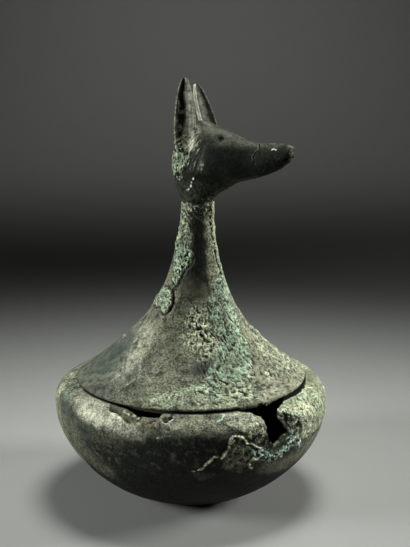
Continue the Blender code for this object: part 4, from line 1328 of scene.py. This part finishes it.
class Board:
    """A material's nodes, and its tone, which coats of colour are laid over one after another."""

    def __init__(self, name):
        self.material = bpy.data.materials.new(name)
        self.material.use_nodes = True
        self.tree = self.material.node_tree
        self.shader = self.tree.nodes["Principled BSDF"]
        self.tone = shade("metal")

    def add(self, kind, out=0, settings=(), **inputs):
        """Adds a node; an input is named, or is _ and its number."""
        node = self.tree.nodes.new("ShaderNode" + kind)
        for key, value in settings:
            setattr(node, key, value)
        for key, value in inputs.items():
            self.set(node, key, value)
        return node.outputs[out]

    def set(self, node, key, value):
        socket = node.inputs[int(key[1:]) if key[0] == "_" else key.replace("_", " ")]
        if isinstance(value, bpy.types.NodeSocket):
            self.tree.links.new(value, socket)
        else:
            socket.default_value = value

    def math(self, operation, first, second=0.0, third=0.0, clamp=False):
        settings = (("operation", operation), ("use_clamp", clamp))
        return self.add("Math", settings=settings, _0=first, _1=second, _2=third)

    def times(self, first, second):
        return self.math("MULTIPLY", first, second)

    def times_plus(self, first, second, third, clamp=False):
        return self.math("MULTIPLY_ADD", first, second, third, clamp)

    def mask(self, name):
        return self.add("Attribute", out=2, settings=(("attribute_name", name),))

    def noise(self, size, detail=3.0, roughness=0.6, seed=0.0):
        """Noise whose lumps are about this many millimetres across, as a number round a half."""
        place = self.add("TexCoord", out=3)
        moved = self.add("Mapping", Vector=place, Location=(seed * 0.731, seed * 0.377, seed * 0.519))
        return self.add("TexNoise", Vector=moved, Scale=1.0 / (size * MM), Detail=detail, Roughness=roughness)

    def ramp(self, value, low, high):
        """0 below low and 1 above high."""
        settings = (("interpolation_type", "SMOOTHSTEP"),)
        return self.add("MapRange", settings=settings, Value=value, From_Min=low, From_Max=high)

    def coat(self, share, over, blend="MIX"):
        """Lays a colour over the tone."""
        settings = (("data_type", "RGBA"), ("blend_type", blend))
        self.tone = self.add("Mix", out=2, settings=settings, _0=share, _6=self.tone, _7=over)

    def dim(self, amount):
        """Makes the tone lighter or darker by a number."""
        self.coat(1.0, self.add("CombineColor", Red=amount, Green=amount, Blue=amount), "MULTIPLY")

    def growth(self, name, noise_value, cover=0.8, breakup=1.5, sharp=1.8):
        """Lays a mask's colour over the tone, its edge and its inside broken up by noise."""
        mask = self.mask(name)
        spread = self.times_plus(noise_value, breakup, -0.5 * breakup)
        spread = self.times(spread, self.ramp(mask, 0.0, 0.3))
        total = self.times_plus(mask, cover, spread)
        # the bare metal mask lays the metal colour, which low on the bowl's front is painted shade
        over = shade("metal" if name == "bare" else name)
        self.coat(self.times_plus(total, sharp, 0.5 - 0.5 * sharp, clamp=True), over)

    def done(self, roughness, height=None, strength=1.0, distance=0.0, specular=0.5):
        """Joins the tone, the roughness and the relief, whose distance is in metres, to the shader."""
        self.set(self.shader, "Base_Color", self.tone)
        self.set(self.shader, "Roughness", roughness)
        self.shader.inputs["Specular IOR Level"].default_value = specular
        if height:
            self.set(self.shader, "Normal", self.add("Bump", Height=height, Strength=strength, Distance=distance))
        return self.material


def patina(name):
    """Bronze under film, earth and crust; the piece's masks say where each lies."""
    board = Board(name)
    times, times_plus, ramp, coat = board.times, board.times_plus, board.ramp, board.coat
    tiny, fine = board.noise(0.45, 2.0), board.noise(0.85, 2.0, 0.6, 1)
    medium, wide = board.noise(3.0, 4.0, 0.6, 2), board.noise(9.0, 4.0, 0.6, 3)
    both = times(board.math("ADD", fine, medium), 0.5)
    speck = times_plus(board.math("SUBTRACT", tiny, 0.5), 0.6, fine)
    pitted, threaded, rise = board.mask("pitted"), board.mask("threaded"), board.mask("rise")
    coat(times_plus(ramp(medium, 0.32, 0.60), 0.70, 0.30), shade("grey"))
    coat(times(ramp(wide, 0.48, 0.66), 0.4), shade("brown"))
    # pale here is a thin film, and also a painted highlight and sheen
    for growth in (
        ("beige", medium, 0.9, 1.2, 1.2), ("bare", medium, 1.0, 0.9, 1.3), ("brown", medium, 0.85, 1.0, 1.3),
        ("rust", fine, 0.9, 1.0, 1.4), ("blue", medium, 1.0, 0.6, 1.0), ("pale", both, 1.0, 0.8, 1.0),
        ("green", fine, 0.85, 1.3, 1.3), ("verdigris", fine, 0.75, 1.2, 1.3), ("mint", fine, 0.85, 1.3, 1.3),
        ("cream", fine, 0.85, 1.3, 1.4),
    ):
        board.growth(*growth)
    cloud = times_plus(ramp(wide, 0.32, 0.68), 0.50, 0.70)
    board.dim(times(cloud, times_plus(ramp(medium, 0.30, 0.66), 0.45, 0.80)))
    swing = board.math("SUBTRACT", ramp(speck, 0.34, 0.66), 0.5)
    board.dim(times_plus(swing, times_plus(pitted, 0.85, 0.22), 1.0))
    coat(times(times(ramp(speck, 0.58, 0.70), pitted), 0.35), shade("cream"))
    coat(times(times(ramp(speck, 0.40, 0.28), pitted), 0.75), shade("dark"))
    line = board.math("ABSOLUTE", board.math("SUBTRACT", fine, 0.5))
    threads = times(ramp(line, 0.045, 0.005), threaded)
    coat(times(times(ramp(line, 0.06, 0.12), threaded), 0.5), shade("dark"))
    coat(times(threads, 0.55), shade("cream"))
    # from the rise mask: low places darker, partly dirt and partly painted shade, and tops lighter as a painted
    # highlight
    coat(times(ramp(rise, 0.48, 0.18), 0.75), shade("dark"))
    board.dim(times_plus(ramp(rise, 0.52, 0.85), 0.4, 1.0))
    board.growth("dark", tiny, 1.0, 0.8, 1.6)
    # white: mineral grains, and painted glints
    board.growth("white", tiny, 1.0, 0.8, 1.8)
    coat(board.mask("inside"), shade("brown"))
    heights = times_plus(speck, times_plus(pitted, 1.5, 0.3), times(threads, 0.35))
    return board.done(times_plus(board.mask("coarse"), 0.25, 0.60), heights, 1.0, 0.0008, specular=0.14)


def fracture(name):
    """The broken wall: dull grey-green metal with earth on it."""
    board = Board(name)
    fine, medium = board.noise(0.7, 4.0, 0.65), board.noise(2.6, 4.0, 0.6, 4)
    board.coat(board.ramp(fine, 0.35, 0.62), shade("grey"))
    board.coat(board.ramp(medium, 0.5, 0.62), shade("beige"))
    return board.done(board.times_plus(fine, 0.2, 0.7), fine, 0.7, 0.0004)


def head_bronze(name):
    """Smooth dark bronze with a soft sheen, crusted at the nape."""
    board = Board(name)
    times, times_plus, ramp, coat = board.times, board.times_plus, board.ramp, board.coat
    tiny, fine = board.noise(0.4, 2.0), board.noise(1.0, 4.0, 0.65, 5)
    medium, wide = board.noise(3.4, 4.0, 0.6, 6), board.noise(9.0, 4.0, 0.55, 7)
    coarse = board.mask("coarse")
    coat(times(ramp(wide, 0.42, 0.72), 0.06), shade("grey"))
    # the earthy mask lays grey: painted top light on upward-facing skin, and paler fur strands and foot
    coat(times(board.mask("earthy"), ramp(medium, 0.25, 0.62)), shade("grey"))
    coat(times(board.mask("worn"), ramp(fine, 0.25, 0.60)), shade("beige"))
    # pale: the painted light in the ears' hollows and on the far ear's rim
    board.growth("pale", medium, 1.0, 0.9, 1.0)
    for growth in ("green", "cream", "verdigris"):
        board.growth(growth, fine)
    board.dim(times_plus(ramp(fine, 0.3, 0.7), 0.9, 0.55))
    board.growth("dark", tiny, 1.2, 0.6)
    # white: the painted glints
    board.growth("white", tiny, 1.4, 0.6)
    heights = times_plus(medium, 0.6, times_plus(coarse, fine, times(fine, 0.5)))
    return board.done(times_plus(coarse, 0.25, 0.50), heights, 0.6, 0.0006, specular=0.08)


# ------------------------------ the stage

# Lamps: where they hang and what they face, in metres, their size, their beam's spread in degrees, power and tint
LAMPS = (
    ("top_softbox", (0.10, 0.12, 0.80), (0.0, 0.0, 0.08), 0.30, 42.0, 0.46, (0.965, 1.0, 0.955)),
    ("left_softbox", (-0.76, -0.22, 0.34), (0.0, 0.0, 0.09), 0.30, 50.0, 0.70, (0.955, 1.0, 0.970)),
    ("right_softbox", (0.78, 0.12, 0.34), (0.0, 0.0, 0.09), 0.30, 50.0, 0.85, (0.970, 1.0, 0.950)),
    ("back_wash", (0.0, 0.90, 1.10), (0.0, 1.60, 0.15), 0.50, 110.0, 1.30, (1.0, 1.0, 0.97)),
)
ROOM_LIGHT = (0.80, 0.81, 0.82, 1.0), 0.03
FLOOR_REACH, FLOOR_BACK, FLOOR_BEND, FLOOR_STEPS = 3.0, 1.1, 0.7, 24  # in metres, and steps round the bend


def lay_floor():
    """A pale floor that curves up behind the vase."""
    turns = [math.pi / 2 * i / FLOOR_STEPS for i in range(1, FLOOR_STEPS + 1)]
    curve = [(FLOOR_BACK + FLOOR_BEND * math.sin(t), FLOOR_BEND - FLOOR_BEND * math.cos(t)) for t in turns]
    side_on = [(-FLOOR_REACH, 0.0), (FLOOR_BACK, 0.0), *curve, (FLOOR_BACK + FLOOR_BEND, FLOOR_REACH)]
    corners = [(x, y, z) for y, z in side_on for x in (-FLOOR_REACH, FLOOR_REACH)]
    faces = [(2 * i, 2 * i + 1, 2 * i + 3, 2 * i + 2) for i in range(len(side_on) - 1)]
    floor = smoothed(meshed("floor", corners, faces))
    board = Board("pale_floor")
    tone = bpy.context.scene.vase_stage.floor
    board.tone = (*(c * 0.96 for c in tone), 1.0)
    board.coat(board.noise(40.0, 2.0), (*tone, 1.0))
    floor.data.materials.append(board.done(0.9))


def hang_lamp(name, spot, aim, size, spread, power, tint):
    lamp = bpy.data.lights.new(name, "AREA")
    lamp.shape, lamp.size, lamp.spread, lamp.energy, lamp.color = "DISK", size, math.radians(spread), power, tint
    hung = linked(name, lamp)
    hung.location = spot
    hung.rotation_euler = (Vector(aim) - Vector(spot)).to_track_quat("-Z", "Y").to_euler()


def light_room():
    world = bpy.data.worlds.new("room")
    world.use_nodes = True
    light = world.node_tree.nodes["Background"]
    light.inputs["Color"].default_value, light.inputs["Strength"].default_value = ROOM_LIGHT
    bpy.context.scene.world = world
    bpy.context.scene.view_settings.view_transform = "Standard"


def stand_camera():
    sizes = bpy.context.scene.vase_stage
    camera = bpy.data.cameras.new("camera")
    camera.lens, camera.sensor_width, camera.clip_start = sizes.lens, 36.0, 0.01
    stand = linked("camera", camera)
    stand.location = (sizes.aside, -sizes.distance, sizes.height)
    stand.rotation_euler = (math.radians(90) - sizes.tilt, 0.0, 0.0)
    bpy.context.scene.camera = stand


# ------------------------------ operators


def dress(piece, node):
    """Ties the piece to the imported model: it rides on the one body and stands for the node."""
    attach(piece, "root")
    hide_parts(node)
    return {"FINISHED"}


class BuildBowl(bpy.types.Operator):
    """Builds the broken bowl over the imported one"""

    bl_idname = "vase.build_bowl"
    bl_label = "Patinated Bowl"
    bl_options = {"REGISTER", "UNDO"}

    def execute(self, context):
        return dress(make_bowl(), "bowl")


class BuildLid(bpy.types.Operator):
    """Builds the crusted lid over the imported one"""

    bl_idname = "vase.build_lid"
    bl_label = "Crusted Lid"
    bl_options = {"REGISTER", "UNDO"}

    def execute(self, context):
        return dress(make_lid(), "lid")


class BuildHead(bpy.types.Operator):
    """Builds the jackal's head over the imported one"""

    bl_idname = "vase.build_head"
    bl_label = "Jackal's Head"
    bl_options = {"REGISTER", "UNDO"}

    def execute(self, context):
        return dress(make_head(), "jackal_head")


class SetStage(bpy.types.Operator):
    """Lays the floor, hangs the lamps and sets up the camera"""

    bl_idname = "vase.set_stage"
    bl_label = "Floor, Lamps and Camera"
    bl_options = {"REGISTER", "UNDO"}

    def execute(self, context):
        lay_floor()
        for lamp in LAMPS:
            hang_lamp(*lamp)
        light_room()
        stand_camera()
        return {"FINISHED"}


class VasePanel(bpy.types.Panel):
    """The vase's sizes, colours and building steps"""

    bl_idname = "VIEW3D_PT_bronze_vase"
    bl_label = "Bronze Vase"
    bl_space_type = "VIEW_3D"
    bl_region_type = "UI"
    bl_category = "Bronze Vase"

    def draw(self, context):
        for group, _ in GROUPS:
            box = self.layout.box()
            sizes = getattr(context.scene, group)
            for key in sizes.bl_rna.properties.keys():
                if key not in ("rna_type", "name"):
                    box.prop(sizes, key)
        for step in STEPS:
            self.layout.operator(step.bl_idname)


GROUPS = (
    ("vase_bowl", BowlSizes), ("vase_lid", LidSizes), ("vase_head", HeadSizes),
    ("vase_colours", PatinaColours), ("vase_stage", StageSizes),
)
STEPS = (BuildBowl, BuildLid, BuildHead, SetStage)


def register():
    for name, group in GROUPS:
        bpy.utils.register_class(group)
        setattr(bpy.types.Scene, name, bpy.props.PointerProperty(type=group))
    for kind in (*STEPS, VasePanel):
        bpy.utils.register_class(kind)


def unregister():
    for kind in (VasePanel, *reversed(STEPS)):
        bpy.utils.unregister_class(kind)
    for name, group in reversed(GROUPS):
        delattr(bpy.types.Scene, name)
        bpy.utils.unregister_class(group)


def main():
    register()
    bpy.ops.vase.build_bowl()
    bpy.ops.vase.build_lid()
    bpy.ops.vase.build_head()
    bpy.ops.vase.set_stage()
    bpy.context.view_layer.update()


if __name__ == "__main__":
    main()
